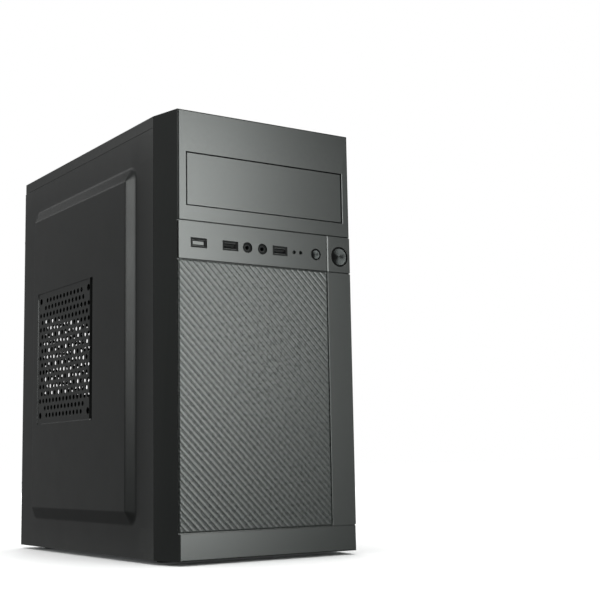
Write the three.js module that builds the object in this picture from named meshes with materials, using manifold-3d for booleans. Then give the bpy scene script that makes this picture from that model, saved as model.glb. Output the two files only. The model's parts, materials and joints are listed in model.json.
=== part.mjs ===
// A desktop computer tower: a sheet-metal chassis with two sliding side panels, a plastic front
// bezel that pulls off, and the board, power supply, drive and fans that it holds.
// Millimetres, +Z up. The front looks along -Y. The origin is under the middle of the whole tower.

import * as THREE from "three";
import { ConvexGeometry } from "three/addons/geometries/ConvexGeometry.js";
import { mergeVertices } from "three/addons/utils/BufferGeometryUtils.js";
import Module from "manifold-3d";

const wasm = await Module();
wasm.setup();

// ---- Driving dimensions ----

const WIDTH = 175; // across the flat borders of the two side panels
const FRONT_WIDTH = 162; // the front face, narrower because the bezel's sides taper
const SHELL_HEIGHT = 345;
const FOOT_HEIGHT = 3;
const BEZEL_DEPTH = 29;
const BODY_DEPTH = 271;
const SCREW_DEPTH = 8; // what the thumbscrew heads add behind the body
const SHEET = 0.8; // steel sheet
const GAP = 0.3; // between neighbouring pieces
const PANEL_RAISE = 5; // how far the pressed middle of a side panel stands out
const PANEL_HEM = 2.5; // the folded edge of a side panel
const FLANGE_DROP = 9; // how far the top cover folds down over the sides
const FRONT_FOLD = 21.5; // how far the top cover folds down at the front
const SEAM = 0.8; // groove between the front's inserts
const SEAM_HEIGHTS = [20.5, 227, 257.5]; // grooves across the front, above the shell's bottom
const INSERT_DEPTH = 2; // the pocket that the front's inserts sit in
const FRONT_WALL = 4;
const BEZEL_WALL = 2.5;
const STRIP_EDGE = 138.5; // from the front's left edge to the plain strip
const BAY_WIDTH = 148; // a 5.25 inch drive bay
const BAY_HEIGHT = 42;
const BAY_BOTTOM = 269.5; // above the shell's bottom
const CONTROLS_HEIGHT = 240.6; // ports, lamps and buttons, above the shell's bottom
const POWER_SUPPLY = { width: 150, depth: 140, height: 86 };
const BOARD = { thickness: 1.6, bottom: 9, height: 244, depth: 191.5 };
const SLOT_PITCH = 20.32; // expansion slots
const HARD_DRIVE = { width: 101.6, depth: 147, height: 26.1 };

// ---- Places that follow from them ----

const LENGTH = BEZEL_DEPTH + BODY_DEPTH + SCREW_DEPTH;
const FRONT_Y = -LENGTH / 2;
const BEZEL_Y = FRONT_Y + BEZEL_DEPTH; // where the bezel meets the chassis
const REAR_Y = BEZEL_Y + BODY_DEPTH;
const BOTTOM = FOOT_HEIGHT;
const TOP = FOOT_HEIGHT + SHELL_HEIGHT;
const HALF = WIDTH / 2;
const FRONT_HALF = FRONT_WIDTH / 2;
const CHASSIS_HALF = HALF - PANEL_HEM - 0.5;
const PANEL_TOP = TOP - FLANGE_DROP - GAP;
const CONTROLS_Z = BOTTOM + CONTROLS_HEIGHT;
const BAY_Z = [BOTTOM + BAY_BOTTOM, BOTTOM + BAY_BOTTOM + BAY_HEIGHT];
const BAY_X = [-BAY_WIDTH / 2, BAY_WIDTH / 2];
const FRAME_Y = BEZEL_Y + GAP; // front face of the chassis's front sheet
const INSIDE_Y = [FRAME_Y + SHEET + GAP, REAR_Y - SHEET - GAP];
const BOARD_X = 76; // the side of the main board that carries its parts
const ON_BOARD = BOARD_X - GAP;
const SUPPLY_Z = [TOP - 3.5 - POWER_SUPPLY.height, TOP - 3.5];
const SUPPLY_Y = [INSIDE_Y[1] - POWER_SUPPLY.depth, INSIDE_Y[1]];
const SUPPLY_HALF = POWER_SUPPLY.width / 2;
const DRIVE_Y = [FRAME_Y + 3.7, FRAME_Y + 3.7 + HARD_DRIVE.depth];
const DRIVE_Z = [SUPPLY_Z[0] - 2.4 - HARD_DRIVE.height, SUPPLY_Z[0] - 2.4];
const SIDE_VENT = { y: 40, z: 173.3, width: 118, height: 120.5, sink: 1.5 };
const VENT_HOLE = { radius: 2.2, pitch: 7.6, rows: 17, rowPitch: 6.55, screwSpacing: 105 };
const REAR_VENT = { x: -29, z: 181, width: 81, height: 76, radius: 2.4, pitch: 6.6 };
const COOLER = { y: 50, z: 176, side: 80, fanDepth: 25, fanFront: 9 };
const SUPPLY_FAN = { y: (SUPPLY_Y[0] + SUPPLY_Y[1]) / 2, radius: 56 };
const INLET = { x: [28, 58], z: [309, 331] };
const ROCKER = { x: 43, z: 288, width: 19, height: 13, tilt: 8, opening: 22.8 };
const SCREW = { x: 79.9, heights: [60, 292], shank: 1.6, hole: 1.9, head: 5.5 };
const USB = { width: 13.5, height: 6.9, centres: [-63.2, -34.9, 11.6] };
const JACK_CENTRES = [-19.2, -5.3];
const LAMP_CENTRES = [25.1, 31.4];
const RESET = { x: 46.6, radius: 4.4, travel: 1.5 };
const POWER = { x: 70.4, radius: 8.1, travel: 2.5 };
const SLOT_CENTRES = [0, 1, 2, 3].map((i) => BOTTOM + 20 + i * SLOT_PITCH);

// ---- Solids ----

// A closed mesh as a solid that can be joined and cut.
function solid(geometry) {
  const bare = new THREE.BufferGeometry();
  bare.setAttribute("position", geometry.getAttribute("position"));
  bare.setIndex(geometry.index);
  const merged = mergeVertices(bare, 1e-4);
  return new wasm.Manifold(
    new wasm.Mesh({
      numProp: 3,
      vertProperties: merged.attributes.position.array,
      triVerts: new Uint32Array(merged.index.array),
    }),
  );
}

const join = (...pieces) => wasm.Manifold.union(pieces.flat());
const cut = (body, ...tools) => body.subtract(join(...tools));
const around = (middle, size) => [middle - size / 2, middle + size / 2];

// A block between the ends given for each axis.
function block([x0, x1], [y0, y1], [z0, z1]) {
  const box = new THREE.BoxGeometry(x1 - x0, y1 - y0, z1 - z0);
  return solid(box.translate((x0 + x1) / 2, (y0 + y1) / 2, (z0 + z1) / 2));
}

// A round bar along one axis. The centre gives the other two coordinates, in x, y, z order.
function bar(axis, radius, [from, to], [u, v], sides = 12, endRadius = radius) {
  const geometry = new THREE.CylinderGeometry(endRadius, radius, to - from, sides);
  const middle = (from + to) / 2;
  if (axis === "x") geometry.rotateZ(-Math.PI / 2).translate(middle, u, v);
  if (axis === "y") geometry.translate(u, middle, v);
  if (axis === "z") geometry.rotateX(Math.PI / 2).translate(u, v, middle);
  return solid(geometry);
}

const outline = (points) => new THREE.Shape(points.map(([x, y]) => new THREE.Vector2(x, y)));

// An outline in x and y, drawn up from one height to another.
function column(points, [z0, z1]) {
  const settings = { depth: z1 - z0, bevelEnabled: false };
  return solid(new THREE.ExtrudeGeometry(outline(points), settings).translate(0, 0, z0));
}

// A raised or sunk field of a panel: a rectangle at its outer x face, which slopes down all round
// to an outline that is larger by the slope on each side and has round corners.
function pressing(innerX, outerX, [y0, y1], [z0, z1], slope) {
  const cornerSteps = 4;
  const points = [];
  [[y1, z1, 0], [y0, z1, 1], [y0, z0, 2], [y1, z0, 3]].forEach(([y, z, quarter]) => {
    const middle = [y - Math.sign(y - (y0 + y1) / 2) * slope, z - Math.sign(z - (z0 + z1) / 2) * slope];
    points.push(new THREE.Vector3(outerX, ...middle));
    for (let i = 0; i <= cornerSteps; i++) {
      const angle = (Math.PI / 2) * (quarter + i / cornerSteps);
      const reach = [slope * Math.cos(angle), slope * Math.sin(angle)];
      points.push(new THREE.Vector3(innerX, middle[0] + reach[0], middle[1] + reach[1]));
    }
  });
  return solid(new ConvexGeometry(points));
}

// A cable of round section along a smooth curve through the points.
function cable(points, radius, steps) {
  const route = new THREE.CatmullRomCurve3(points.map((p) => new THREE.Vector3(...p)));
  const sides = 8;
  const ring = Array.from({ length: sides }, (_, i) => {
    const angle = (2 * Math.PI * i) / sides;
    return [radius * Math.cos(angle), radius * Math.sin(angle)];
  });
  const settings = { steps, extrudePath: route, bevelEnabled: false };
  return solid(new THREE.ExtrudeGeometry(outline(ring), settings));
}

// Staggered rows of round holes that fill a rectangle.
function perforation(vent, span) {
  const rowPitch = vent.pitch * Math.sin(Math.PI / 3);
  const rows = Math.floor((vent.height - 2 * vent.radius) / rowPitch) + 1;
  const columns = Math.floor((vent.width - 2 * vent.radius) / vent.pitch) + 1;
  const holes = [];
  for (let row = 0; row < rows; row++) {
    const shift = (row % 2) / 2;
    for (let i = 0; i < columns - (row % 2); i++) {
      const x = vent.x + (i - (columns - 1) / 2 + shift) * vent.pitch;
      const z = vent.z + (row - (rows - 1) / 2) * rowPitch;
      holes.push(bar("y", vent.radius, span, [x, z], 8));
    }
  }
  return holes;
}

// Hexagon holes through a sheet, in staggered rows inside a circle. Places are in x and z.
function honeycomb(centre, radius, hole, pitch, span) {
  const holes = [];
  const rowPitch = pitch * Math.sin(Math.PI / 3);
  const rows = Math.floor((radius - hole) / rowPitch);
  for (let row = -rows; row <= rows; row++) {
    for (let i = -rows - 1; i <= rows + 1; i++) {
      const x = (i + (row % 2 ? 0.5 : 0)) * pitch;
      const z = row * rowPitch;
      if (Math.hypot(x, z) > radius - hole) continue;
      holes.push(bar("y", hole, span, [centre[0] + x, centre[1] + z], 6));
    }
  }
  return holes;
}

// ---- Materials ----

const finishes = {
  blackSteel: { color: 0x2c2e2d, roughness: 0.55, metalness: 0.2 },
  zincSteel: { color: 0xa9adb0, roughness: 0.4, metalness: 0.9 },
  satinPlastic: { color: 0x161817, roughness: 0.35, metalness: 0 },
  ribbedPlastic: { color: 0x232524, roughness: 0.4, metalness: 0 },
  mattePlastic: { color: 0x101111, roughness: 0.6, metalness: 0 },
  spunMetal: { color: 0x8d9193, roughness: 0.25, metalness: 1 },
  circuitBoard: { color: 0x0d3a24, roughness: 0.5, metalness: 0.1 },
  aluminium: { color: 0xb9bcbd, roughness: 0.35, metalness: 1 },
  rubber: { color: 0x1a1a1a, roughness: 0.9, metalness: 0 },
  clearPlastic: { color: 0xcfd6d6, roughness: 0.15, metalness: 0 },
  cableJacket: { color: 0x1c1d20, roughness: 0.6, metalness: 0 },
};

function piece(name, body, finish, position = [0, 0, 0]) {
  const { vertProperties, triVerts } = body.getMesh();
  const geometry = new THREE.BufferGeometry();
  geometry.setAttribute("position", new THREE.BufferAttribute(vertProperties, 3));
  geometry.setIndex(new THREE.BufferAttribute(triVerts, 1));
  const flat = geometry.toNonIndexed();
  flat.computeVertexNormals();
  const mesh = new THREE.Mesh(flat, new THREE.MeshStandardMaterial(finishes[finish]));
  mesh.name = name;
  mesh.position.set(...position);
  return mesh;
}

function assembly(...members) {
  const group = new THREE.Group();
  group.add(...members.flat());
  return group;
}

// ---- Chassis ----

function basePan() {
  return block([-CHASSIS_HALF, CHASSIS_HALF], INSIDE_Y, [BOTTOM, BOTTOM + SHEET]);
}

function topCover() {
  const y = [FRAME_Y, REAR_Y];
  const flange = [TOP - FLANGE_DROP, TOP];
  const foldY = [INSIDE_Y[0], INSIDE_Y[0] + SHEET];
  const fold = block([GAP - CHASSIS_HALF, CHASSIS_HALF - GAP], foldY, [TOP - FRONT_FOLD, TOP]);
  return join(
    block([-HALF, HALF], y, [TOP - SHEET, TOP]),
    block([-HALF, -HALF + SHEET], y, flange),
    block([HALF - SHEET, HALF], y, flange),
    cut(fold, pegHoles([foldY[0] - 1, foldY[1] + 1])),
  );
}

function rearPanel() {
  const y = [REAR_Y - SHEET, REAR_Y];
  const through = [y[0] - 1, y[1] + 1];
  const sheet = block([-CHASSIS_HALF, CHASSIS_HALF], y, [BOTTOM, TOP - SHEET - GAP]);
  const ports = block([30, ON_BOARD + 0.5], through, [BOTTOM + 91, BOTTOM + 250]);
  const supply = block([-71, 71], through, [SUPPLY_Z[0] + 3.5, SUPPLY_Z[1] - 3.5]);
  const slots = SLOT_CENTRES.map((z) => block([-34, 70], through, around(z, 12)));
  const screws = [-1, 1].flatMap((side) =>
    SCREW.heights.map((z) => bar("y", SCREW.hole, through, [side * SCREW.x, z], 8)),
  );
  return cut(sheet, ports, supply, slots, screws, perforation(REAR_VENT, through));
}

// The sheet behind the bezel, up to the drive bay, with the two arms that carry the port board.
function frontFrame() {
  const y = [FRAME_Y, FRAME_Y + SHEET];
  const through = [y[0] - 1, y[1] + 1];
  const sheet = block([-CHASSIS_HALF, CHASSIS_HALF], y, [BOTTOM, BAY_Z[0]]);
  const cableHole = bar("y", 6, through, [63, CONTROLS_Z - 4], 12);
  const intake = honeycomb([0, 80], 46, 8, 18, through);
  const armTop = CONTROLS_Z - 5.5;
  const arms = [-60, 14].map((x) => block([x, x + 10], [FRONT_Y + 14, y[1]], [armTop - SHEET, armTop]));
  return cut(sheet, cableHole, pegHoles(through), intake).add(join(arms));
}

// The tray that the main board is screwed to, with its stamped stand-offs.
function boardTray() {
  const x = BOARD_X + BOARD.thickness + GAP;
  const sheetX = x + 4;
  const rows = [BOTTOM + BOARD.bottom + 8, 132, BOTTOM + BOARD.bottom + BOARD.height - 8];
  const standOffs = rows.flatMap((z) =>
    [-40, 50, 130].map((y) => bar("x", 3, [x, sheetX + SHEET / 2], [y, z], 8, 5)),
  );
  const sheet = block([sheetX, sheetX + SHEET], [-110, INSIDE_Y[1]], [BOTTOM + SHEET + GAP, 258]);
  return join(sheet, standOffs);
}

// A sleeve for one 5.25 inch drive, open to the front and rear, with an ear on each side of its mouth.
function opticalBayCage() {
  const outer = BAY_WIDTH / 2 + 1;
  const y = [INSIDE_Y[0], SUPPLY_Y[0] - 5];
  const z = [BAY_Z[0] - 2.5, BAY_Z[1] + 2];
  const inner = block(
    [-outer + SHEET, outer - SHEET],
    [y[0] - 1, y[1] + 1],
    [z[0] + SHEET, z[1] - SHEET],
  );
  const earY = [y[0], y[0] + SHEET];
  return join(
    cut(block([-outer, outer], y, z), inner),
    block([-CHASSIS_HALF, SHEET / 2 - outer], earY, z),
    block([outer - SHEET / 2, CHASSIS_HALF], earY, z),
  );
}

// A channel hung under the sleeve. It holds the hard drive by its sides.
function hardDriveCage() {
  const half = HARD_DRIVE.width / 2 + 1.5;
  const top = BAY_Z[0] - 2.5 - GAP;
  const y = [INSIDE_Y[0], -6];
  const floor = DRIVE_Z[0] - 1.5;
  const inner = block([-half + SHEET, half - SHEET], [y[0] - 1, y[1] + 1], [floor + SHEET, top + 1]);
  return cut(block([-half, half], y, [floor, top]), inner);
}

// A blank bracket with the tab that its screw holds. It is drawn about the middle of its slot.
function slotCover() {
  const y = [INSIDE_Y[1] - SHEET, INSIDE_Y[1]];
  const plate = block([-40, 78], y, [-9.3, 9.3]);
  const tab = block([-40.5, -39.5], [y[1] - 9, y[1]], [-9.3, 9.3]);
  return join(plate, tab);
}

function foot() {
  return bar("z", 7.5, [0, FOOT_HEIGHT - GAP], [0, 0], 16, 9);
}

// ---- Main board and what is on it ----

function mainBoard() {
  const z = [BOTTOM + BOARD.bottom, BOTTOM + BOARD.bottom + BOARD.height];
  const y = [143.5 - BOARD.depth, 143.5];
  return block([BOARD_X, BOARD_X + BOARD.thickness], y, z);
}

const PORT_ROWS = [158, 176, 194]; // pairs of data sockets, by height
const NETWORK_SOCKET = { x: [48, 60], z: [212, 221], depth: 12 };

function rearPortBlock() {
  const y = [122, REAR_Y + 0.6];
  const body = block([43, ON_BOARD], y, [150, 246]);
  const sockets = PORT_ROWS.flatMap((z) =>
    [50, 64].map((x) => block(around(x, 5.6), [y[1] - 9, y[1] + 1], around(z, 12.4))),
  );
  const tongues = PORT_ROWS.flatMap((z) =>
    [50, 64].map((x) => block(around(x, 1.8), [y[1] - 9.5, y[1] - 1], around(z, 11))),
  );
  const network = block(NETWORK_SOCKET.x, [y[1] - NETWORK_SOCKET.depth, y[1] + 1], NETWORK_SOCKET.z);
  const screen = block([51, 69], [y[1] - 6, y[1] + 1], [228, 240]);
  const screenPins = block([53, 67], [y[1] - 6.5, y[1] - 1], [230, 238]);
  return cut(body, sockets, network, screen).add(join(tongues, screenPins));
}

function audioPortBlock() {
  const y = [130, REAR_Y + 0.6];
  const body = block([62, ON_BOARD], y, [98, 136]);
  const jacks = [105, 117, 129].map((z) => bar("y", 1.8, [y[1] - 12, y[1] + 1], [68.5, z], 8));
  return cut(body, jacks);
}

function ioShield() {
  const y = [INSIDE_Y[1] - SHEET, INSIDE_Y[1]];
  const through = [y[0] - 1, y[1] + 1];
  const plate = block([28.5, BOARD_X - 0.2], y, [BOTTOM + 90.7, BOTTOM + 251.5]);
  const ports = block([42.5, BOARD_X + 1], through, [149.5, 246.5]);
  const audio = block([61.5, BOARD_X + 1], through, [97.5, 136.5]);
  return cut(plate, ports, audio);
}

// Fins on a thick base, with the foot that presses on the processor.
function coolerHeatsink() {
  const { y, z, side, fanFront, fanDepth } = COOLER;
  const x = [fanFront + fanDepth + GAP, ON_BOARD];
  const fins = 12;
  const pitch = (side - 1.6) / (fins - 1);
  const blades = Array.from({ length: fins }, (_, i) =>
    block([x[0], x[1] - 13], around(y, side), around(z - side / 2 + 0.8 + i * pitch, 1.6)),
  );
  const base = block([x[1] - 14, x[1] - 6], around(y, side), around(z, side));
  return join(blades, base, block([x[1] - 7, x[1]], around(y, 38), around(z, 38)));
}

// A square fan frame with the four arms that hold the motor.
function coolerFanFrame() {
  const { y, z, side, fanDepth, fanFront } = COOLER;
  const x = [fanFront, fanFront + fanDepth];
  const bore = side / 2 - 2.5;
  const body = cut(
    block(x, around(y, side), around(z, side)),
    bar("x", bore, [x[0] - 1, x[1] + 1], [y, z], 32),
  );
  const armX = [x[1] - 3, x[1]];
  const arms = join(
    block(armX, around(y, 3), around(z, side - 1)),
    block(armX, around(y, side - 1), around(z, 3)),
    bar("x", 16, armX, [y, z], 16),
  );
  return body.add(arms);
}

// A hub with pitched blades, turning about its own z axis.
function fanRotor(radius, hubRadius, height, blades) {
  const hub = bar("z", hubRadius, [0, height], [0, 0], 16);
  const chord = height * 1.1;
  const vanes = Array.from({ length: blades }, (_, i) => {
    const vane = new THREE.BoxGeometry(radius - hubRadius + 4, chord, 1.6);
    vane.rotateX(0.62).translate((radius + hubRadius) / 2, 0, height / 2);
    return solid(vane.rotateZ((2 * Math.PI * i) / blades));
  });
  const swept = bar("z", radius, [0, height], [0, 0], 32);
  return join(hub, join(vanes).intersect(swept));
}

function memorySlot() {
  return block([70, ON_BOARD], around(-17, 7), [90, 226]);
}

function memoryModule() {
  const z = [92.5, 223.5];
  const board = block([40, 70 - GAP], around(-17, 1.4), z);
  const chips = [-1, 1].flatMap((side) =>
    [0, 1, 2, 3].map((i) => block([46, 62], around(-17 + side * 1, 1), around(108 + i * 33, 14))),
  );
  return join(board, chips);
}

function expansionSlot() {
  const body = block([65, ON_BOARD], [6, 96], around(SLOT_CENTRES[3], 7));
  return cut(body, block([64, 72], [8, 94], around(SLOT_CENTRES[3], 1.8)));
}

function chipsetHeatsink() {
  const base = block([71, ON_BOARD], around(-5, 36), around(50, 36));
  const fins = Array.from({ length: 7 }, (_, i) =>
    block([58, 71.5], around(-5, 36), around(33 + i * 5.65, 1.6)),
  );
  return join(base, fins);
}

function mainPowerSocket() {
  return block([62, ON_BOARD], around(-41, 10), [172, 224]);
}

function coinBattery() {
  return bar("x", 10, [ON_BOARD - 4, ON_BOARD], [70, 52], 20);
}

// ---- Power supply ----

function powerSupplyCase() {
  const wall = 1;
  const x = [-SUPPLY_HALF, SUPPLY_HALF];
  const inner = block(
    [x[0] + wall, x[1] - wall],
    [SUPPLY_Y[0] + wall, SUPPLY_Y[1] - wall],
    [SUPPLY_Z[0] + wall, SUPPLY_Z[1] - wall],
  );
  const rear = [SUPPLY_Y[1] - 3, SUPPLY_Y[1] + 1];
  const fan = bar("z", SUPPLY_FAN.radius, [SUPPLY_Z[0] - 1, SUPPLY_Z[0] + 3], [0, SUPPLY_FAN.y], 32);
  const inlet = block(INLET.x, rear, INLET.z);
  const rocker = block(around(ROCKER.x, ROCKER.opening), rear, around(ROCKER.z, ROCKER.height + 1));
  const grille = honeycomb([-30, (SUPPLY_Z[0] + SUPPLY_Z[1]) / 2], 38, 6, 13.5, rear);
  return cut(block(x, SUPPLY_Y, SUPPLY_Z), inner, fan, inlet, rocker, grille);
}

// Rings on two crossed bars, with the disc that carries the fan's motor.
function powerSupplyFanGuard() {
  const z = [SUPPLY_Z[0] - 1.5, SUPPLY_Z[0] - GAP];
  const middle = [0, SUPPLY_FAN.y];
  const rings = [32, 44, 56].map((radius) =>
    cut(
      bar("z", radius + 1, z, middle, 16),
      bar("z", radius - 1, [z[0] - 1, z[1] + 1], middle, 16),
    ),
  );
  const bars = join(
    block(around(0, 122), around(SUPPLY_FAN.y, 2.4), z),
    block(around(0, 2.4), around(SUPPLY_FAN.y, 122), z),
  );
  return join(rings, bars, bar("z", 19, [z[0], SUPPLY_Z[0] + 3], middle, 16));
}

// A three-pin mains inlet, open to the rear.
function powerInlet() {
  const y = [SUPPLY_Y[1] - 18, REAR_Y + 1.5];
  const x = [INLET.x[0] + GAP, INLET.x[1] - GAP];
  const z = [INLET.z[0] + GAP, INLET.z[1] - GAP];
  const middle = [(x[0] + x[1]) / 2, (z[0] + z[1]) / 2];
  const hollow = block(around(middle[0], 24), [y[1] - 14, y[1] + 1], around(middle[1], 16));
  const pins = [[-7, -2], [0, 2], [7, -2]].map(([dx, dz]) =>
    block(around(middle[0] + dx, 2), [y[1] - 15, y[1] - 5.5], around(middle[1] + dz, 4)),
  );
  return cut(block(x, y, z), hollow).add(join(pins));
}

// A rocker with a shallow V across its face, turning about its own z axis.
function powerSupplySwitch() {
  const half = ROCKER.width / 2;
  const profile = [[-half, -2.5], [half, -2.5], [half, 3.2], [0, 1.4], [-half, 3.2]];
  return column(profile, around(0, ROCKER.height));
}

// ---- Drive and cables ----

function hardDrive() {
  const half = HARD_DRIVE.width / 2;
  const body = block([-half, half], DRIVE_Y, [DRIVE_Z[0] + 4, DRIVE_Z[1]]);
  const circuitY = [DRIVE_Y[0] + 4, DRIVE_Y[1] - 1];
  const circuit = block([-half + 2, half - 2], circuitY, [DRIVE_Z[0], DRIVE_Z[0] + 5]);
  const socket = block([18, 44], [DRIVE_Y[1] - 7, DRIVE_Y[1] + 1], [DRIVE_Z[0] - 1, DRIVE_Z[0] + 3.5]);
  return cut(join(body, circuit), socket);
}

function mainPowerCable() {
  const z = SUPPLY_Z[0] + 5;
  const route = [
    [66, SUPPLY_Y[0] - GAP, z],
    [66, -12, z],
    [66, -34, z - 5],
    [68, -41, 244],
    [68.5, -41, 224 + GAP],
  ];
  return cable(route, 4.5, 24);
}

function dataCable() {
  const route = [
    [25, DRIVE_Y[1] + 0.6, 238],
    [24.5, DRIVE_Y[1] + 5, 237.6],
    [14, 30, 228],
    [2, 16, 216],
    [5, -30, 190],
    [36, -34, 150],
    [64, -34, 116],
    [ON_BOARD - 1, -34, 115.5],
  ];
  return cable(route, 2.4, 32);
}

function frontPanelCable() {
  const y = BEZEL_Y - 4;
  const z = CONTROLS_Z - 4.4;
  const route = [
    [37, y, z],
    [48, y, z],
    [58, BEZEL_Y - 2.5, z],
    [64, -119, z],
    [67, -104, 232],
    [69, -80, 190],
    [70, -60, 90],
    [66, -44, 32],
    [ON_BOARD - 1, -42, 26],
  ];
  return cable(route, 2, 36);
}

// ---- Front ----

const pegCentres = () => [-1, 1].flatMap((side) => [[side * 76, 14], [side * 78, 334]]);
const pegHoles = (y) => pegCentres().map(([x, z]) => block(around(x, 7.5), y, around(z, 7.5)));
const halfWidthAt = (y) => FRONT_HALF + ((HALF - FRONT_HALF) * (y - FRONT_Y)) / BEZEL_DEPTH;

// The moulded shell: a tapered tray, open to the rear, with a shallow pocket for the inserts.
function frontBezel() {
  const y = [FRONT_Y, BEZEL_Y];
  const wallY = FRONT_Y + FRONT_WALL;
  const tray = (inset, from, to, z) => {
    const near = halfWidthAt(from) - inset;
    const far = halfWidthAt(to) - inset;
    return column([[-near, from], [near, from], [far, to], [-far, to]], z);
  };
  const hollow = tray(BEZEL_WALL, wallY, y[1] + 1, [BOTTOM + BEZEL_WALL, TOP - BEZEL_WALL]);
  const pocketZ = [BOTTOM + SEAM_HEIGHTS[0] - SEAM / 2, BOTTOM + SEAM_HEIGHTS[2] + SEAM / 2];
  const pocket = block([-HALF, HALF], [y[0] - 1, y[0] + INSERT_DEPTH], pocketZ);
  const through = [y[0] - 1, wallY + 1];
  const bay = block(BAY_X, through, BAY_Z);
  const ports = block([-73, 36], through, [CONTROLS_Z - 6, CONTROLS_Z + 6]);
  const reset = bar("y", RESET.radius + GAP, through, [RESET.x, CONTROLS_Z], 16);
  const power = bar("y", POWER.radius + GAP, through, [POWER.x, CONTROLS_Z], 24);
  const intake = block([-60, 60], [y[0] + 10, y[1] - 6], [BOTTOM - 1, BOTTOM + 4]);
  const pegs = pegCentres().map(([x, z]) => block(around(x, 6), [wallY - 1, y[1] + 6], around(z, 6)));
  const posts = [-4.6, 4.9].map((dz) =>
    bar("y", 1.5, [wallY - 1, FRONT_Y + 12.7], [56.8, CONTROLS_Z + dz], 8),
  );
  const shell = cut(tray(0, y[0], y[1], [BOTTOM, TOP]), hollow, pocket, bay, ports, reset, power, intake);
  return join(shell, pegs, posts);
}

// A flat insert between two grooves. Its x ends are measured from the front's left edge.
function insert([left, right], lower, upper) {
  const x = [left - FRONT_HALF, right - FRONT_HALF];
  const z = [BOTTOM + lower + SEAM / 2, BOTTOM + upper - SEAM / 2];
  return block(x, [FRONT_Y, FRONT_Y + INSERT_DEPTH - GAP], z);
}

function texturedPanel() {
  return insert([0, STRIP_EDGE], SEAM_HEIGHTS[0], SEAM_HEIGHTS[1]);
}

function plainStrip() {
  return insert([STRIP_EDGE + GAP, FRONT_WIDTH], SEAM_HEIGHTS[0], SEAM_HEIGHTS[1]);
}

function ioStrip() {
  const y = [FRONT_Y - 1, FRONT_Y + INSERT_DEPTH + 1];
  const ports = USB.centres.map((x) =>
    block(around(x, USB.width + 2 * GAP), y, around(CONTROLS_Z, USB.height + 2 * GAP)),
  );
  const jacks = JACK_CENTRES.map((x) => bar("y", 4.2, y, [x, CONTROLS_Z], 16));
  const lamps = LAMP_CENTRES.map((x) => bar("y", 1.5, y, [x, CONTROLS_Z], 8));
  const reset = bar("y", RESET.radius + GAP, y, [RESET.x, CONTROLS_Z], 16);
  const strip = insert([0, STRIP_EDGE], SEAM_HEIGHTS[1], SEAM_HEIGHTS[2]);
  return cut(strip, ports, jacks, lamps, reset);
}

function powerButtonPlate() {
  const y = [FRONT_Y - 1, FRONT_Y + INSERT_DEPTH + 1];
  const plate = insert([STRIP_EDGE + GAP, FRONT_WIDTH], SEAM_HEIGHTS[1], SEAM_HEIGHTS[2]);
  return cut(plate, bar("y", POWER.radius + GAP, y, [POWER.x, CONTROLS_Z], 24));
}

// A round cap with the collar that keeps it in and the stem that works its switch.
function pushButton({ x, radius, travel }, sides) {
  const wallY = FRONT_Y + FRONT_WALL;
  return join(
    bar("y", radius, [FRONT_Y, wallY + 1], [x, CONTROLS_Z], sides),
    bar("y", radius + 0.8, [wallY + GAP, wallY + 1.3], [x, CONTROLS_Z], sides),
    bar("y", 2, [wallY, FRONT_Y + 8.7 - travel], [x, CONTROLS_Z], 8),
  );
}

// The small board in the bezel with one push switch behind each button.
function switchBoard() {
  const y = FRONT_Y + 13;
  const board = block([40, 79], [y, y + 1.6], around(CONTROLS_Z, 15));
  const switches = [RESET.x, POWER.x].flatMap((x) => [
    block(around(x, 6), [y - 3, y + 0.5], around(CONTROLS_Z, 6)),
    bar("y", 1.6, [y - 4.2, y], [x, CONTROLS_Z], 8),
  ]);
  return join(board, switches);
}

// A drive bay's blank: a shallow tray, open to the rear.
function bayCover() {
  const y = [FRONT_Y + 0.4, FRONT_Y + 13];
  const x = [BAY_X[0] + 0.5, BAY_X[1] - 0.5];
  const z = [BAY_Z[0] + 0.5, BAY_Z[1] - 0.5];
  const wall = 1.8;
  const hollow = block([x[0] + wall, x[1] - wall], [y[0] + 2.5, y[1] + 1], [z[0] + wall, z[1] - wall]);
  return cut(block(x, y, z), hollow);
}

function portBoard() {
  return block([-72, 36.5], [FRONT_Y + 5.4, BEZEL_Y - 1], [CONTROLS_Z - 5.2, CONTROLS_Z - 3.75]);
}

// A data socket with its tongue, drawn about the middle of its mouth.
function usbPort() {
  const shell = block(around(0, USB.width), [0.6, 17], around(0, USB.height));
  const mouth = block(around(0, USB.width - 1), [-1, 13], around(0, USB.height - 1));
  const tongue = block(around(0, USB.width - 2.4), [2, 13.5], [0.5, 2.4]);
  return cut(shell, mouth).add(tongue);
}

// A 3.5 mm audio socket, drawn about the middle of its mouth.
function audioJack() {
  const barrel = bar("y", 3.9, [0.4, 5], [0, 0], 16);
  const body = block(around(0, 9), [4.6, 18], [-USB.height / 2, 5]);
  return cut(join(barrel, body), bar("y", 1.8, [-1, 15], [0, 0], 12));
}

function lamp() {
  return join(
    bar("y", 1.2, [0.2, 8], [0, 0], 12),
    block(around(0, 2.8), [6, 9], [-USB.height / 2, 1.4]),
  );
}

// ---- Side panels ----

function ventHoles(x) {
  const { radius, pitch, rows, rowPitch, screwSpacing } = VENT_HOLE;
  const holes = [];
  for (let row = 0; row < rows; row++) {
    const count = row % 2 ? 14 : 15;
    const height = (row - (rows - 1) / 2) * rowPitch;
    const cornerRow = row < 2 || row > rows - 3;
    for (let i = 0; i < count; i++) {
      const across = (i - (count - 1) / 2) * pitch;
      if (cornerRow && Math.abs(across) > 42) continue; // room for the corner screw holes
      holes.push(bar("x", radius, x, [SIDE_VENT.y + across, SIDE_VENT.z + height], 4));
    }
  }
  for (const dy of around(0, screwSpacing)) {
    for (const dz of around(0, screwSpacing)) {
      holes.push(bar("x", radius, x, [SIDE_VENT.y + dy, SIDE_VENT.z + dz], 4));
    }
  }
  return holes;
}

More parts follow.
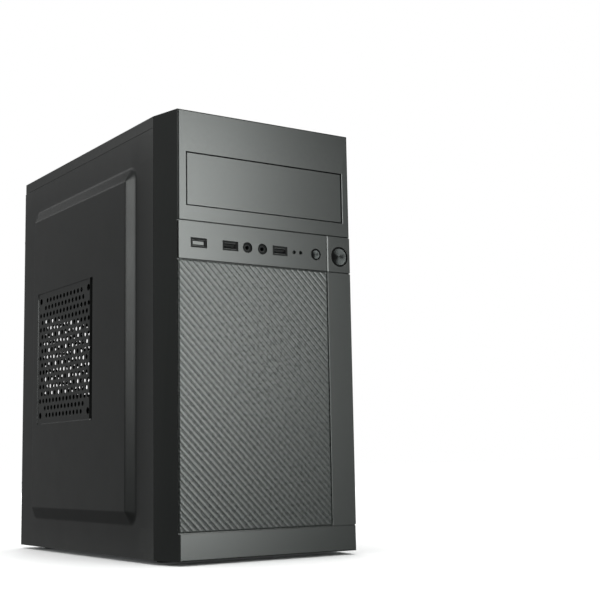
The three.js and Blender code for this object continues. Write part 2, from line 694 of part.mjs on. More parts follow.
// A steel cover with a raised middle, folded edges and a rear flange for its two thumbscrews.
function sidePanel(side, vented) {
  const y = [FRAME_Y, REAR_Y];
  const z = [BOTTOM, PANEL_TOP];
  const out = (from, to) => [side * from, side * to].sort((a, b) => a - b);
  const face = side * HALF;
  const back = side * (HALF - SHEET);
  const raised = side * PANEL_RAISE;
  const plateau = { y: [-95, 120], z: [BOTTOM + 25, BOTTOM + 311], slope: 11 };
  const ventY = around(SIDE_VENT.y, SIDE_VENT.width);
  const ventZ = around(SIDE_VENT.z, SIDE_VENT.height);
  const dent = (x) => pressing(x + side * 3, x - side * SIDE_VENT.sink, ventY, ventZ, 3);
  const skin = (x) => {
    const form = pressing(x - side * SHEET, x + raised, plateau.y, plateau.z, plateau.slope);
    return vented ? form.subtract(dent(x + raised)) : form;
  };
  const sheet = join(block(out(HALF - SHEET, HALF), y, z), skin(face));
  const hem = out(HALF - PANEL_HEM, HALF - SHEET / 2);
  const folds = join(
    block(hem, y, [z[0], z[0] + SHEET]),
    block(hem, y, [z[1] - SHEET, z[1]]),
    block(hem, [y[0], y[0] + SHEET], z),
    block(out(HALF - SHEET, HALF), [REAR_Y - 1, REAR_Y + GAP + SHEET], z),
    block(out(HALF - 11.5, HALF), [REAR_Y + GAP, REAR_Y + GAP + SHEET], z),
  );
  const hole = (height) => bar("y", SCREW.hole, [REAR_Y - 1, REAR_Y + 3], [side * SCREW.x, height], 8);
  const panel = cut(join(sheet.subtract(skin(back)), folds), SCREW.heights.map(hole));
  return vented ? cut(panel, ventHoles(out(HALF - 4, HALF + 8))) : panel;
}

// A knurled head and a threaded shank along y, drawn about the flange's rear face.
function thumbscrew() {
  const start = REAR_Y + GAP + SHEET + 0.1;
  const end = REAR_Y + SCREW_DEPTH;
  return join(
    bar("y", SCREW.head, [start + 1.5, end], [0, 0], 20),
    bar("y", 3.5, [start, start + 2], [0, 0], 12),
    bar("y", SCREW.shank, [REAR_Y - 6, start + 1], [0, 0], 8),
  );
}

// ---- Assembly ----

function chassis() {
  const corners = [-1, 1].flatMap((side) => [[side * 66, -104], [side * 66, 122]]);
  return assembly(
    piece("base_pan", basePan(), "zincSteel"),
    piece("top_cover", topCover(), "blackSteel"),
    piece("rear_panel", rearPanel(), "zincSteel"),
    piece("front_frame", frontFrame(), "zincSteel"),
    piece("motherboard_tray", boardTray(), "zincSteel"),
    piece("optical_bay_cage", opticalBayCage(), "zincSteel"),
    piece("hard_drive_cage", hardDriveCage(), "zincSteel"),
    SLOT_CENTRES.map((z, i) => piece(`slot_cover_${i + 1}`, slotCover(), "zincSteel", [0, 0, z])),
    corners.map(([x, y], i) => piece(`foot_${i + 1}`, foot(), "rubber", [x, y, 0])),
  );
}

function electronics() {
  const { y, z, side, fanFront } = COOLER;
  const rotor = piece("cpu_fan_rotor", fanRotor(side / 2 - 4, 17, 20, 7), "mattePlastic");
  rotor.position.set(fanFront + 1.5, y, z);
  rotor.rotation.y = Math.PI / 2;
  return assembly(
    piece("motherboard", mainBoard(), "circuitBoard"),
    piece("io_shield", ioShield(), "zincSteel"),
    piece("rear_port_block", rearPortBlock(), "zincSteel"),
    piece("audio_port_block", audioPortBlock(), "mattePlastic"),
    piece("cpu_heatsink", coolerHeatsink(), "aluminium"),
    piece("cpu_fan_frame", coolerFanFrame(), "mattePlastic"),
    rotor,
    piece("memory_slot", memorySlot(), "mattePlastic"),
    piece("memory_module", memoryModule(), "circuitBoard"),
    piece("expansion_slot", expansionSlot(), "mattePlastic"),
    piece("chipset_heatsink", chipsetHeatsink(), "aluminium"),
    piece("main_power_socket", mainPowerSocket(), "mattePlastic"),
    piece("cmos_battery", coinBattery(), "zincSteel"),
    piece("hard_drive", hardDrive(), "aluminium"),
    piece("main_power_cable", mainPowerCable(), "cableJacket"),
    piece("data_cable", dataCable(), "cableJacket"),
    piece("front_panel_cable", frontPanelCable(), "cableJacket"),
  );
}

function powerSupply() {
  const rotor = fanRotor(SUPPLY_FAN.radius - 2, 19, 20, 7);
  const rocker = piece("power_supply_switch", powerSupplySwitch(), "mattePlastic");
  rocker.position.set(ROCKER.x, SUPPLY_Y[1] - 0.4, ROCKER.z);
  rocker.rotation.z = -THREE.MathUtils.degToRad(ROCKER.tilt);
  return assembly(
    piece("power_supply_case", powerSupplyCase(), "zincSteel"),
    piece("power_supply_fan_rotor", rotor, "mattePlastic", [0, SUPPLY_FAN.y, SUPPLY_Z[0] + 3 + GAP]),
    piece("power_supply_fan_guard", powerSupplyFanGuard(), "zincSteel"),
    piece("power_inlet", powerInlet(), "mattePlastic"),
    rocker,
  );
}

function frontPorts() {
  const at = (x) => [x, FRONT_Y, CONTROLS_Z];
  const usbNames = ["usb_port_left", "usb_port_middle", "usb_port_right"];
  const jackNames = ["audio_jack_left", "audio_jack_right"];
  const lampNames = ["power_led", "drive_led"];
  return assembly(
    piece("io_board", portBoard(), "circuitBoard"),
    usbNames.map((name, i) => piece(name, usbPort(), "zincSteel", at(USB.centres[i]))),
    jackNames.map((name, i) => piece(name, audioJack(), "mattePlastic", at(JACK_CENTRES[i]))),
    lampNames.map((name, i) => piece(name, lamp(), "clearPlastic", at(LAMP_CENTRES[i]))),
  );
}

function front() {
  return assembly(
    piece("front_bezel", frontBezel(), "satinPlastic"),
    piece("textured_panel", texturedPanel(), "ribbedPlastic"),
    piece("plain_strip", plainStrip(), "satinPlastic"),
    piece("io_strip", ioStrip(), "satinPlastic"),
    piece("power_button_plate", powerButtonPlate(), "satinPlastic"),
    piece("switch_board", switchBoard(), "circuitBoard"),
    piece("power_button", pushButton(POWER, 24), "spunMetal"),
    piece("reset_button", pushButton(RESET, 16), "spunMetal"),
    piece("bay_cover", bayCover(), "satinPlastic"),
  );
}

function coveredSide(name, side, vented) {
  return assembly(
    piece(`${name}_side_panel`, sidePanel(side, vented), "blackSteel"),
    SCREW.heights.map((z, i) =>
      piece(`${name}_thumbscrew_${i + 1}`, thumbscrew(), "zincSteel", [side * SCREW.x, 0, z]),
    ),
  );
}

export default assembly(
  chassis(),
  electronics(),
  powerSupply(),
  frontPorts(),
  front(),
  coveredSide("left", -1, true),
  coveredSide("right", 1, false),
);
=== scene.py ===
"""Looks for the desktop computer tower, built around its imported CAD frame. Metres, +Z up."""
import json
import math

import bmesh
import bpy
from mathutils import Matrix, Vector

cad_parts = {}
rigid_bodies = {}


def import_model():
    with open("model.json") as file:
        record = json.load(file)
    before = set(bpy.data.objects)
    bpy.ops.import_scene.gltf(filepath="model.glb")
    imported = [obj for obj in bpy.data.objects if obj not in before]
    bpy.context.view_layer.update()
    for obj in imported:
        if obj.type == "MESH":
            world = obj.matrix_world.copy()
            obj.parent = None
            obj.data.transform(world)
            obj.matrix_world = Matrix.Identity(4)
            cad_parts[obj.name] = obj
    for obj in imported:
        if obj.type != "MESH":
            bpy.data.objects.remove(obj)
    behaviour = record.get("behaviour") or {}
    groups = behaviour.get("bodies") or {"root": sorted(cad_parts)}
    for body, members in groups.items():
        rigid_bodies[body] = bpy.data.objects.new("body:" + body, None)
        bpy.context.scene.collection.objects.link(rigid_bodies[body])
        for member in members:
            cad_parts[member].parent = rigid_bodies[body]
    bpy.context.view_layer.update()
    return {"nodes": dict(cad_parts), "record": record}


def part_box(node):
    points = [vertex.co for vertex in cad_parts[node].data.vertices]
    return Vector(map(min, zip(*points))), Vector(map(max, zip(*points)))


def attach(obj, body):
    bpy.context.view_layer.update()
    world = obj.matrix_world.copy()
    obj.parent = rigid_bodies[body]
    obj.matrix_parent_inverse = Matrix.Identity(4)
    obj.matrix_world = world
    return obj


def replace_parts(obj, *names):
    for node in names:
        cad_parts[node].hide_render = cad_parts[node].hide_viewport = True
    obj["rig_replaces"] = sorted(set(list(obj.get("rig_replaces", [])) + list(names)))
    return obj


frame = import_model()
MM = 0.001

# ---------------------------------------------------------------- camera, light and floor


def make_camera():
    """A 71 mm lens in front of the tower's left front corner, looking slightly up."""
    yaw, pitch, roll = (math.radians(a) for a in (34.19, 7.85, -1.04))
    ahead = Vector((math.sin(yaw) * math.cos(pitch), math.cos(yaw) * math.cos(pitch), math.sin(pitch)))
    right = ahead.cross(Vector((0, 0, 1))).normalized()
    up = right.cross(ahead)
    tilted_right = right * math.cos(roll) + up * math.sin(roll)
    tilted_up = up * math.cos(roll) - right * math.sin(roll)
    data = bpy.data.cameras.new("camera")
    data.lens = 71.29
    data.sensor_width = 36
    data.clip_start = 0.01
    data.clip_end = 50
    camera = bpy.data.objects.new("camera", data)
    turn = Matrix((tilted_right, tilted_up, -ahead)).transposed().to_4x4()
    camera.matrix_world = Matrix.Translation((-0.506, -0.9429, 0.0733)) @ turn
    bpy.context.scene.collection.objects.link(camera)
    bpy.context.scene.camera = camera


def softbox(name, place, target, size, power, colour=(1, 1, 1)):
    """A rectangular area light at a place, facing a target."""
    data = bpy.data.lights.new(name, "AREA")
    data.shape = "RECTANGLE"
    data.size, data.size_y = size
    data.energy = power
    data.color = colour
    light = bpy.data.objects.new(name, data)
    light.location = place
    light.rotation_mode = "QUATERNION"
    light.rotation_quaternion = (Vector(target) - Vector(place)).to_track_quat("-Z", "Y")
    bpy.context.scene.collection.objects.link(light)


def make_studio():
    """White surroundings, which light the tower more weakly than they show, and soft boxes."""
    world = bpy.data.worlds.new("studio")
    bpy.context.scene.world = world
    world.use_nodes = True
    tree = world.node_tree
    tree.nodes.clear()
    output = tree.nodes.new("ShaderNodeOutputWorld")
    mix = tree.nodes.new("ShaderNodeMixShader")
    path = tree.nodes.new("ShaderNodeLightPath")
    tree.links.new(path.outputs["Is Camera Ray"], mix.inputs["Fac"])
    lit, seen = 0.12, 1.0
    for socket, strength in zip(mix.inputs[1:], (lit, seen)):
        background = tree.nodes.new("ShaderNodeBackground")
        background.inputs["Color"].default_value = (1, 1, 1, 1)
        background.inputs["Strength"].default_value = strength
        tree.links.new(background.outputs["Background"], socket)
    tree.links.new(mix.outputs["Shader"], output.inputs["Surface"])
    middle = (0, -0.05, 0.2)
    softbox("front_softbox", (0.70, -2.26, 0.48), middle, (0.93, 1.25), 42, (0.95, 1.0, 0.97))
    softbox("left_softbox", (-1.95, 0.2, 0.84), middle, (0.42, 1.1), 14, (0.97, 1.0, 0.98))
    softbox("side_softbox", (-1.1, 2.4, 0.4), middle, (1.2, 2.0), 1.3)
    softbox("high_softbox", (-1.05, 2.15, 1.42), middle, (1.0, 0.55), 1.5)
    softbox("rear_softbox", (0.9, 2.4, 0.9), middle, (1.2, 1.4), 12)
    data = bpy.data.lights.new("overhead", "SUN")
    data.energy = 3.7
    data.angle = math.radians(50)
    overhead = bpy.data.objects.new("overhead", data)
    bpy.context.scene.collection.objects.link(overhead)


def make_floor(material):
    """A wide plain floor, which neither lights the tower nor shows in its reflections."""
    mesh = bpy.data.meshes.new("floor")
    reach = 60.0
    corners = [(x * reach, y * reach, 0) for x, y in ((-1, -1), (1, -1), (1, 1), (-1, 1))]
    mesh.from_pydata(corners, [], [(0, 1, 2, 3)])
    floor = bpy.data.objects.new("floor", mesh)
    floor.location.z = -0.0002
    floor.visible_diffuse = False
    floor.visible_glossy = False
    floor.visible_shadow = False
    mesh.materials.append(material)
    bpy.context.scene.collection.objects.link(floor)


# ---------------------------------------------------------------- materials


class Shader:
    """A material with one Principled shader and short ways to add nodes to it."""

    def __init__(self, name, colour, roughness, metallic=0.0, **settings):
        self.material = bpy.data.materials.new(name)
        self.material.use_nodes = True
        self.tree = self.material.node_tree
        self.tree.nodes.clear()
        output = self.tree.nodes.new("ShaderNodeOutputMaterial")
        self.principled = self.tree.nodes.new("ShaderNodeBsdfPrincipled")
        self.tree.links.new(self.principled.outputs["BSDF"], output.inputs["Surface"])
        self.colour = (*colour, 1)
        self.principled.inputs["Base Color"].default_value = self.colour
        self.principled.inputs["Roughness"].default_value = roughness
        self.principled.inputs["Metallic"].default_value = metallic
        for socket, value in settings.items():
            self.principled.inputs[socket.replace("_", " ")].default_value = value
        self.roughness = roughness
        self.place = self.add("ShaderNodeTexCoord").outputs["Object"]

    def add(self, kind, **inputs):
        node = self.tree.nodes.new(kind)
        for socket, value in inputs.items():
            self.set(node.inputs[socket.replace("_", " ")], value)
        return node

    def set(self, socket, value):
        if isinstance(value, bpy.types.NodeSocket):
            self.tree.links.new(value, socket)
        else:
            socket.default_value = value

    def stretched(self, scale):
        """The object's coordinates, with each axis scaled."""
        mapping = self.add("ShaderNodeMapping", Vector=self.place, Scale=scale)
        return mapping.outputs["Vector"]

    def noise(self, scale, detail=3, vector=None):
        node = self.add("ShaderNodeTexNoise", Vector=vector or self.place, Scale=scale, Detail=detail)
        return node.outputs["Fac"]

    def between(self, factor, low, high):
        """Maps a factor from 0..1 to low..high."""
        node = self.add("ShaderNodeMapRange", Value=factor, To_Min=low, To_Max=high)
        return node.outputs["Result"]

    def ramp(self, factor, low, high):
        """0 below low and 1 above high."""
        node = self.add("ShaderNodeMapRange", Value=factor, From_Min=low, From_Max=high)
        return node.outputs["Result"]

    def math(self, operation, a, b=0.0):
        node = self.tree.nodes.new("ShaderNodeMath")
        node.operation = operation
        self.set(node.inputs[0], a)
        self.set(node.inputs[1], b)
        return node.outputs[0]

    def blend(self, factor, a, b):
        node = self.tree.nodes.new("ShaderNodeMix")
        node.data_type = "RGBA"
        self.set(node.inputs["Factor"], factor)
        self.set(node.inputs[6], a)
        self.set(node.inputs[7], b)
        return node.outputs[2]

    def paint(self, colour):
        self.set(self.principled.inputs["Base Color"], colour)

    def vary_colour(self, factor, spread):
        """Darker and lighter patches of the base colour."""
        dark = tuple(c * (1 - spread) for c in self.colour[:3]) + (1,)
        light = tuple(c * (1 + spread) for c in self.colour[:3]) + (1,)
        mixed = self.blend(factor, dark, light)
        self.paint(mixed)
        return mixed

    def vary_roughness(self, factor, spread):
        low, high = self.roughness - spread, self.roughness + spread
        self.set(self.principled.inputs["Roughness"], self.between(factor, low, high))

    def wear(self, colour, worn, amount=0.6):
        """Edges rubbed lighter, where the surface is sharply convex."""
        point = self.add("ShaderNodeNewGeometry").outputs["Pointiness"]
        edge = self.ramp(point, 0.53, 0.62)
        broken = self.math("MULTIPLY", edge, self.between(self.noise(260), 0.1, amount))
        self.paint(self.blend(broken, colour, (*worn, 1)))

    def bump(self, height, distance, strength=1.0):
        node = self.add("ShaderNodeBump", Height=height, Distance=distance, Strength=strength)
        self.set(self.principled.inputs["Normal"], node.outputs["Normal"])

    def finish(self, patches, gloss, grain=None, worn=None):
        """The usual finish: patches of colour and of gloss, a fine grain and rubbed edges.

        Patches and gloss are (noise scale, detail, spread), grain is (noise scale, detail,
        distance, strength) and worn is (colour, amount).
        """
        mixed = self.vary_colour(self.noise(*patches[:2]), patches[2])
        self.vary_roughness(self.noise(*gloss[:2]), gloss[2])
        if grain:
            self.bump(self.noise(*grain[:2]), *grain[2:])
        if worn:
            self.wear(mixed, *worn)
        return self.material


def painted_steel():
    s = Shader("painted_steel", (0.0125, 0.0140, 0.0135), 0.33, Specular_IOR_Level=0.40)
    return s.finish((24, 3, 0.12), (60, 4, 0.05), (1500, 2, 0.00003, 0.5), ((0.10, 0.105, 0.10), 0.35))


def satin_plastic():
    s = Shader("satin_plastic", (0.0155, 0.0175, 0.0165), 0.25, Specular_IOR_Level=0.5)
    mixed = s.vary_colour(s.noise(18), 0.10)
    s.wear(mixed, (0.06, 0.06, 0.06), 0.3)
    hair = s.noise(1.0, 4, s.stretched((60, 60, 5200)))
    s.vary_roughness(hair, 0.035)
    s.bump(hair, 0.00002, 0.06)
    return s.material


def ribbed_plastic():
    s = Shader("ribbed_plastic", (0.025, 0.028, 0.0265), 0.28, Specular_IOR_Level=0.52)
    return s.finish((30, 3, 0.15), (300, 4, 0.06), (2600, 3, 0.00002, 0.5))


def dark_plastic():
    s = Shader("dark_plastic", (0.012, 0.0135, 0.013), 0.5, Specular_IOR_Level=0.4)
    return s.finish((40, 3, 0.15), (90, 4, 0.06), (2200, 3, 0.00003, 0.5), ((0.05, 0.05, 0.05), 0.25))


def shaded_plastic():
    """Black plastic made darker than the rest as painted shade, for socket mouths and button rims."""
    s = Shader("shaded_plastic", (0.0035, 0.0038, 0.0037), 0.6, Specular_IOR_Level=0.2)
    return s.finish((150, 3, 0.2), (300, 3, 0.08), (2200, 3, 0.00003, 0.5))


def spun_metal():
    """Turned lines round the button's own axis, which runs along y."""
    s = Shader("spun_metal", (0.036, 0.038, 0.038), 0.26, 1.0, Anisotropic=0.8)
    tangent = s.tree.nodes.new("ShaderNodeTangent")
    tangent.direction_type = "RADIAL"
    tangent.axis = "Y"
    s.set(s.principled.inputs["Tangent"], tangent.outputs["Tangent"])
    return s.finish((300, 3, 0.08), (500, 4, 0.05))


def zinc_steel():
    """Zinc-plated sheet with its faint crystal spangle."""
    s = Shader("zinc_steel", (0.47, 0.49, 0.50), 0.38, 1.0)
    cells = s.add("ShaderNodeTexVoronoi", Vector=s.place, Scale=110)
    mixed = s.vary_colour(cells.outputs["Color"], 0.10)
    s.wear(mixed, (0.65, 0.66, 0.67), 0.5)
    s.vary_roughness(s.noise(70, 5), 0.08)
    s.bump(s.noise(900, 3), 0.00002, 0.4)
    return s.material


def port_metal():
    """Bright-drawn shells, their colour darkened as painted shade for the inside of a socket."""
    s = Shader("port_metal", (0.14, 0.14, 0.14), 0.40, 1.0)
    return s.finish((250, 3, 0.15), (400, 3, 0.08))


def grey_plastic():
    s = Shader("grey_plastic", (0.21, 0.215, 0.21), 0.42)
    return s.finish((200, 3, 0.08), (300, 3, 0.06), (1500, 3, 0.00002, 0.4))


def gold_contact():
    s = Shader("gold_contact", (0.75, 0.50, 0.17), 0.28, 1.0)
    return s.finish((300, 3, 0.1), (400, 3, 0.06))


def aluminium():
    s = Shader("aluminium", (0.66, 0.67, 0.68), 0.34, 1.0)
    mixed = s.vary_colour(s.noise(30), 0.06)
    s.wear(mixed, (0.8, 0.8, 0.8), 0.4)
    drawn = s.noise(1.0, 4, s.stretched((2500, 40, 2500)))
    s.vary_roughness(drawn, 0.09)
    s.bump(drawn, 0.00002, 0.3)
    return s.material


def circuit_board():
    """Green mask with faint tracks and rows of plated holes."""
    s = Shader("circuit_board", (0.012, 0.075, 0.035), 0.36, Specular_IOR_Level=0.5)
    tracks = s.add("ShaderNodeTexVoronoi", Vector=s.place, Scale=210)
    tracks.distance = "MANHATTAN"
    line = s.ramp(tracks.outputs["Distance"], 0.42, 0.50)
    light = s.blend(line, (0.010, 0.062, 0.030, 1), (0.020, 0.110, 0.050, 1))
    holes = s.add("ShaderNodeTexVoronoi", Vector=s.place, Scale=330)
    pad = s.ramp(holes.outputs["Distance"], 0.16, 0.12)
    rare = s.ramp(s.noise(60), 0.56, 0.60)
    s.paint(s.blend(s.math("MULTIPLY", pad, rare), light, (0.55, 0.55, 0.5, 1)))
    s.vary_roughness(s.noise(80), 0.08)
    s.bump(line, 0.00004, 0.6)
    return s.material


def rubber():
    s = Shader("rubber", (0.02, 0.02, 0.021), 0.82, Specular_IOR_Level=0.3)
    return s.finish((120, 5, 0.3), (200, 3, 0.08), (1800, 4, 0.00006, 0.6))


def lamp_lens():
    s = Shader("lamp_lens", (0.006, 0.0065, 0.007), 0.22, Specular_IOR_Level=0.4)
    return s.finish((500, 3, 0.15), (400, 3, 0.05))


def light_plastic():
    s = Shader("light_plastic", (0.55, 0.56, 0.55), 0.45)
    return s.finish((200, 3, 0.06), (300, 3, 0.06), (1500, 3, 0.00002, 0.4))


def cable_jacket():
    """A woven sleeve: two crossing sets of fine diagonal strands."""
    s = Shader("cable_jacket", (0.018, 0.018, 0.02), 0.55)
    rings = s.add("ShaderNodeTexWave", Vector=s.place, Scale=420, Distortion=0.4)
    rings.bands_direction = "DIAGONAL"
    s.vary_colour(rings.outputs["Fac"], 0.5)
    s.vary_roughness(s.noise(300), 0.1)
    s.bump(rings.outputs["Fac"], 0.0002, 0.7)
    return s.material


def floor_white():
    s = Shader("floor_white", (0.86, 0.86, 0.86), 0.7)
    s.vary_colour(s.noise(0.8), 0.01)
    return s.material


materials = {
    make.__name__: make()
    for make in (
        painted_steel, satin_plastic, ribbed_plastic, dark_plastic, shaded_plastic, spun_metal, zinc_steel,
        port_metal, grey_plastic, gold_contact, aluminium, circuit_board, rubber, lamp_lens,
        light_plastic, cable_jacket, floor_white,
    )
}
# The record's slot that a material stands for, where it isn't the one of the same name.
node_slots = {p["node"]: p["material_slot"] for p in frame["record"]["subparts"]}
node_bodies = {n: body for body, members in frame["record"]["behaviour"]["bodies"].items() for n in members}

# ---------------------------------------------------------------- making meshes


def finish_mesh(bm, sharp=30):
    """Smooth faces, with the edges sharper than an angle kept crisp."""
    limit = math.radians(sharp)
    for face in bm.faces:
        face.smooth = True
    for edge in bm.edges:
        edge.smooth = len(edge.link_faces) != 2 or edge.calc_face_angle(0) < limit


def make_object(name, bm, sharp=30):
    bmesh.ops.recalc_face_normals(bm, faces=bm.faces)
    finish_mesh(bm, sharp)
    mesh = bpy.data.meshes.new(name)
    bm.to_mesh(mesh)
    bm.free()
    obj = bpy.data.objects.new(name, mesh)
    bpy.context.scene.collection.objects.link(obj)
    return obj


def add_block(bm, low, high):
    """Adds a box between two corners and returns its vertices."""
    low, high = Vector(low), Vector(high)
    scale = Matrix.Diagonal((high - low).to_4d())
    made = bmesh.ops.create_cube(bm, size=1, matrix=Matrix.Translation((low + high) / 2) @ scale)
    return made["verts"]


def block(low, high):
    """A new form that is one box."""
    bm = bmesh.new()
    add_block(bm, low, high)
    return bm


AXIS_TURN = {
    "x": Matrix.Rotation(math.pi / 2, 4, "Y"),
    "y": Matrix.Rotation(-math.pi / 2, 4, "X"),
    "z": Matrix.Identity(4),
}


def add_bar(bm, axis, start, length, radius, sides=24, end_radius=None):
    """Adds a round bar that runs from a point along +axis."""
    offset = {"x": (length / 2, 0, 0), "y": (0, length / 2, 0), "z": (0, 0, length / 2)}[axis]
    place = Matrix.Translation(Vector(start) + Vector(offset)) @ AXIS_TURN[axis]
    made = bmesh.ops.create_cone(
        bm, cap_ends=True, segments=sides, radius1=radius,
        radius2=radius if end_radius is None else end_radius, depth=length, matrix=place,
    )
    return made["verts"]


def add_lathe(bm, centre, axis, profile, sides=48):
    """Adds a turned form: profile points are (distance along the axis, radius), axis to axis."""
    rings = []
    turn = AXIS_TURN[axis]
    for along, radius in profile:
        count = 1 if radius <= 0 else sides
        ring = []
        for i in range(count):
            angle = 2 * math.pi * i / sides
            point = turn @ Vector((radius * math.cos(angle), radius * math.sin(angle), along))
            ring.append(bm.verts.new(Vector(centre) + point))
        rings.append(ring)
    for a, b in zip(rings, rings[1:]):
        for i in range(sides):
            j = (i + 1) % sides
            corners = [a[i % len(a)], a[j % len(a)], b[j % len(b)], b[i % len(b)]]
            unique = [v for k, v in enumerate(corners) if v not in corners[:k]]
            if len(unique) > 2:
                bm.faces.new(unique)


def turned(centre, axis, profile, sides=48):
    """A new form that is one turned piece."""
    bm = bmesh.new()
    add_lathe(bm, centre, axis, profile, sides)
    return bm


def evaluated(obj):
    """Replaces an object's mesh by what its modifiers make of it."""
    depsgraph = bpy.context.evaluated_depsgraph_get()
    mesh = bpy.data.meshes.new_from_object(obj.evaluated_get(depsgraph))
    obj.modifiers.clear()
    old = obj.data
    obj.data = mesh
    bpy.data.meshes.remove(old)
    return obj


def combine(obj, tool_bm, operation):
    """Cuts a form by closed tools, or joins them to it."""
    bmesh.ops.recalc_face_normals(tool_bm, faces=tool_bm.faces)
    mesh = bpy.data.meshes.new("tool")
    tool_bm.to_mesh(mesh)
    tool_bm.free()
    tool = bpy.data.objects.new("tool", mesh)
    bpy.context.scene.collection.objects.link(tool)
    boolean = obj.modifiers.new("combine", "BOOLEAN")
    boolean.operation = operation
    boolean.object = tool
    boolean.solver = "MANIFOLD"
    bpy.context.view_layer.update()
    evaluated(obj)
    bpy.data.objects.remove(tool)
    bpy.data.meshes.remove(mesh)
    return obj


def tidy_faces(obj, sharp=30):
    """Joins doubled vertices and marks the sharp edges."""
    bm = bmesh.new()
    bm.from_mesh(obj.data)
    bmesh.ops.remove_doubles(bm, verts=bm.verts, dist=2e-6)
    bmesh.ops.dissolve_degenerate(bm, dist=2e-6, edges=bm.edges)
    bmesh.ops.recalc_face_normals(bm, faces=bm.faces)
    finish_mesh(bm, sharp)
    bm.to_mesh(obj.data)
    bm.free()
    return obj


def soften(obj, width, segments=2, angle=35, curves=True):
    """Rounds the sharp edges a little, as on any real moulding or sheet, and keeps flats flat."""
    obj.data.materials.clear()
    obj.data.materials.append(None)
    obj.data.materials.append(None)
    for polygon in obj.data.polygons:
        polygon.material_index = 0
    bevel = obj.modifiers.new("soften", "BEVEL")
    bevel.width = width
    bevel.segments = segments
    bevel.limit_method = "ANGLE"
    bevel.angle_limit = math.radians(angle)
    bevel.material = 1
    bpy.context.view_layer.update()
    evaluated(obj)
    bm = bmesh.new()
    bm.from_mesh(obj.data)
    bent = math.radians(0.5), math.radians(angle)
    for face in bm.faces:
        curved = curves and any(
            len(e.link_faces) == 2 and all(f.material_index == 0 for f in e.link_faces)
            and bent[0] < e.calc_face_angle(0) < bent[1]
            for e in face.edges
        )
        face.smooth = face.material_index == 1 or curved
    for face in bm.faces:
        face.material_index = 0
    for edge in bm.edges:
        edge.smooth = True
    bm.to_mesh(obj.data)
    bm.free()
    return obj


def settle(obj, material, body, *nodes):
    """Gives a finished piece its material, its body and the CAD nodes that it stands for."""
    obj.data.materials.clear()
    obj.data.materials.append(materials[material])
    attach(obj, body)
    if nodes:
        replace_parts(obj, *nodes)
    return obj


def spans(node):
    """The corners and the middle of a CAD node's box."""
    low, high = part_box(node)
    return low, high, [(a + b) / 2 for a, b in zip(low, high)]


def copy_of(node, ending):
    """A new object with the CAD node's mesh, to be worked on."""
    obj = bpy.data.objects.new(node + ending, frame["nodes"][node].data.copy())
    bpy.context.scene.collection.objects.link(obj)
    return obj


def refined(node, width=0.0003, material=None, segments=2, angle=35):
    """A piece with the CAD node's own form, its faces joined and its edges rounded."""
    obj = copy_of(node, "_form")
    tidy_faces(obj)
    soften(obj, width, segments, angle)
    slot = node_slots[node]
    chosen = material or ("dark_plastic" if slot == "matte_plastic" else slot)
    return settle(obj, chosen, node_bodies[node], node)


# ---------------------------------------------------------------- places, from the frame

FRONT_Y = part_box("textured_panel")[0].y
BEZEL_LOW, BEZEL_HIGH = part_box("front_bezel")
TWILL_LOW, TWILL_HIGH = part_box("textured_panel")
IO_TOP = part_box("io_strip")[1].z
COVER_LOW, COVER_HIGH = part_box("top_cover")
FRONT_HALF = -TWILL_LOW.x
HALF = COVER_HIGH.x
FRAME_Y, REAR_Y = COVER_LOW.y, COVER_HIGH.y
BOTTOM, TOP = BEZEL_LOW.z, BEZEL_HIGH.z
BEZEL_Y = FRAME_Y - 0.3 * MM
PANEL_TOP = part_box("left_side_panel")[1].z
RAISE = -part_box("left_side_panel")[0].x - HALF
SHEET = 0.8 * MM

# ---------------------------------------------------------------- side panels


def eased_slope(t):
    """0 to 1 as t goes from 0 to 1, straight, with its two ends rounded."""
    e = 0.13
    if t <= -e:
        return 0.0
    if t < e:
        return (t + e) ** 2 / (4 * e)
    if t <= 1 - e:
        return t
    if t < 1 + e:
        return 1 - (1 + e - t) ** 2 / (4 * e)
    return 1.0


def outside(y, z, low, high):
    """The distance from a point to a rectangle, 0 inside it."""
    dy = max(low[0] - y, 0, y - high[0])
    dz = max(low[1] - z, 0, z - high[1])
    return math.hypot(dy, dz)


PLATEAU = {"low": (-0.095, BOTTOM + 0.025), "high": (0.120, BOTTOM + 0.311), "slope": 0.011}
VENT = {"y": 0.040, "z": 0.1733, "width": 0.118, "height": 0.1205}
# The channel at the vent's front side: places measured rearwards from the vent's edge, and depths.
CHANNEL = ((-0.0030, 0.0), (-0.0023, 0.0020), (0.0020, 0.0020), (0.0027, 0.0))
FIELD = {"sink": 0.0005, "slope": 0.0008}


def vent_depth(y, z):
    """How far the perforated field, or the channel in front of it, lies below the panel."""
    inward = y - (VENT["y"] - VENT["width"] / 2)
    across = VENT["height"] / 2 - abs(z - VENT["z"])
    fade = max(0.0, min(1.0, across / FIELD["slope"]))
    for (start, above), (end, below) in zip(CHANNEL, CHANNEL[1:]):
        if inward < end:
            return fade * (above + (below - above) * max(0.0, (inward - start) / (end - start)))
    edge = min(inward - CHANNEL[-1][0], VENT["width"] - inward, across)
    return FIELD["sink"] * max(0.0, min(1.0, edge / FIELD["slope"]))


def panel_height(y, z, vented):
    """How far the pressed sheet stands out at a place."""
    s = PLATEAU["slope"]
    low = (PLATEAU["low"][0] + s, PLATEAU["low"][1] + s)
    high = (PLATEAU["high"][0] - s, PLATEAU["high"][1] - s)
    height = RAISE * (1 - eased_slope(outside(y, z, low, high) / s))
    if vented:
        height -= vent_depth(y, z)
    return height


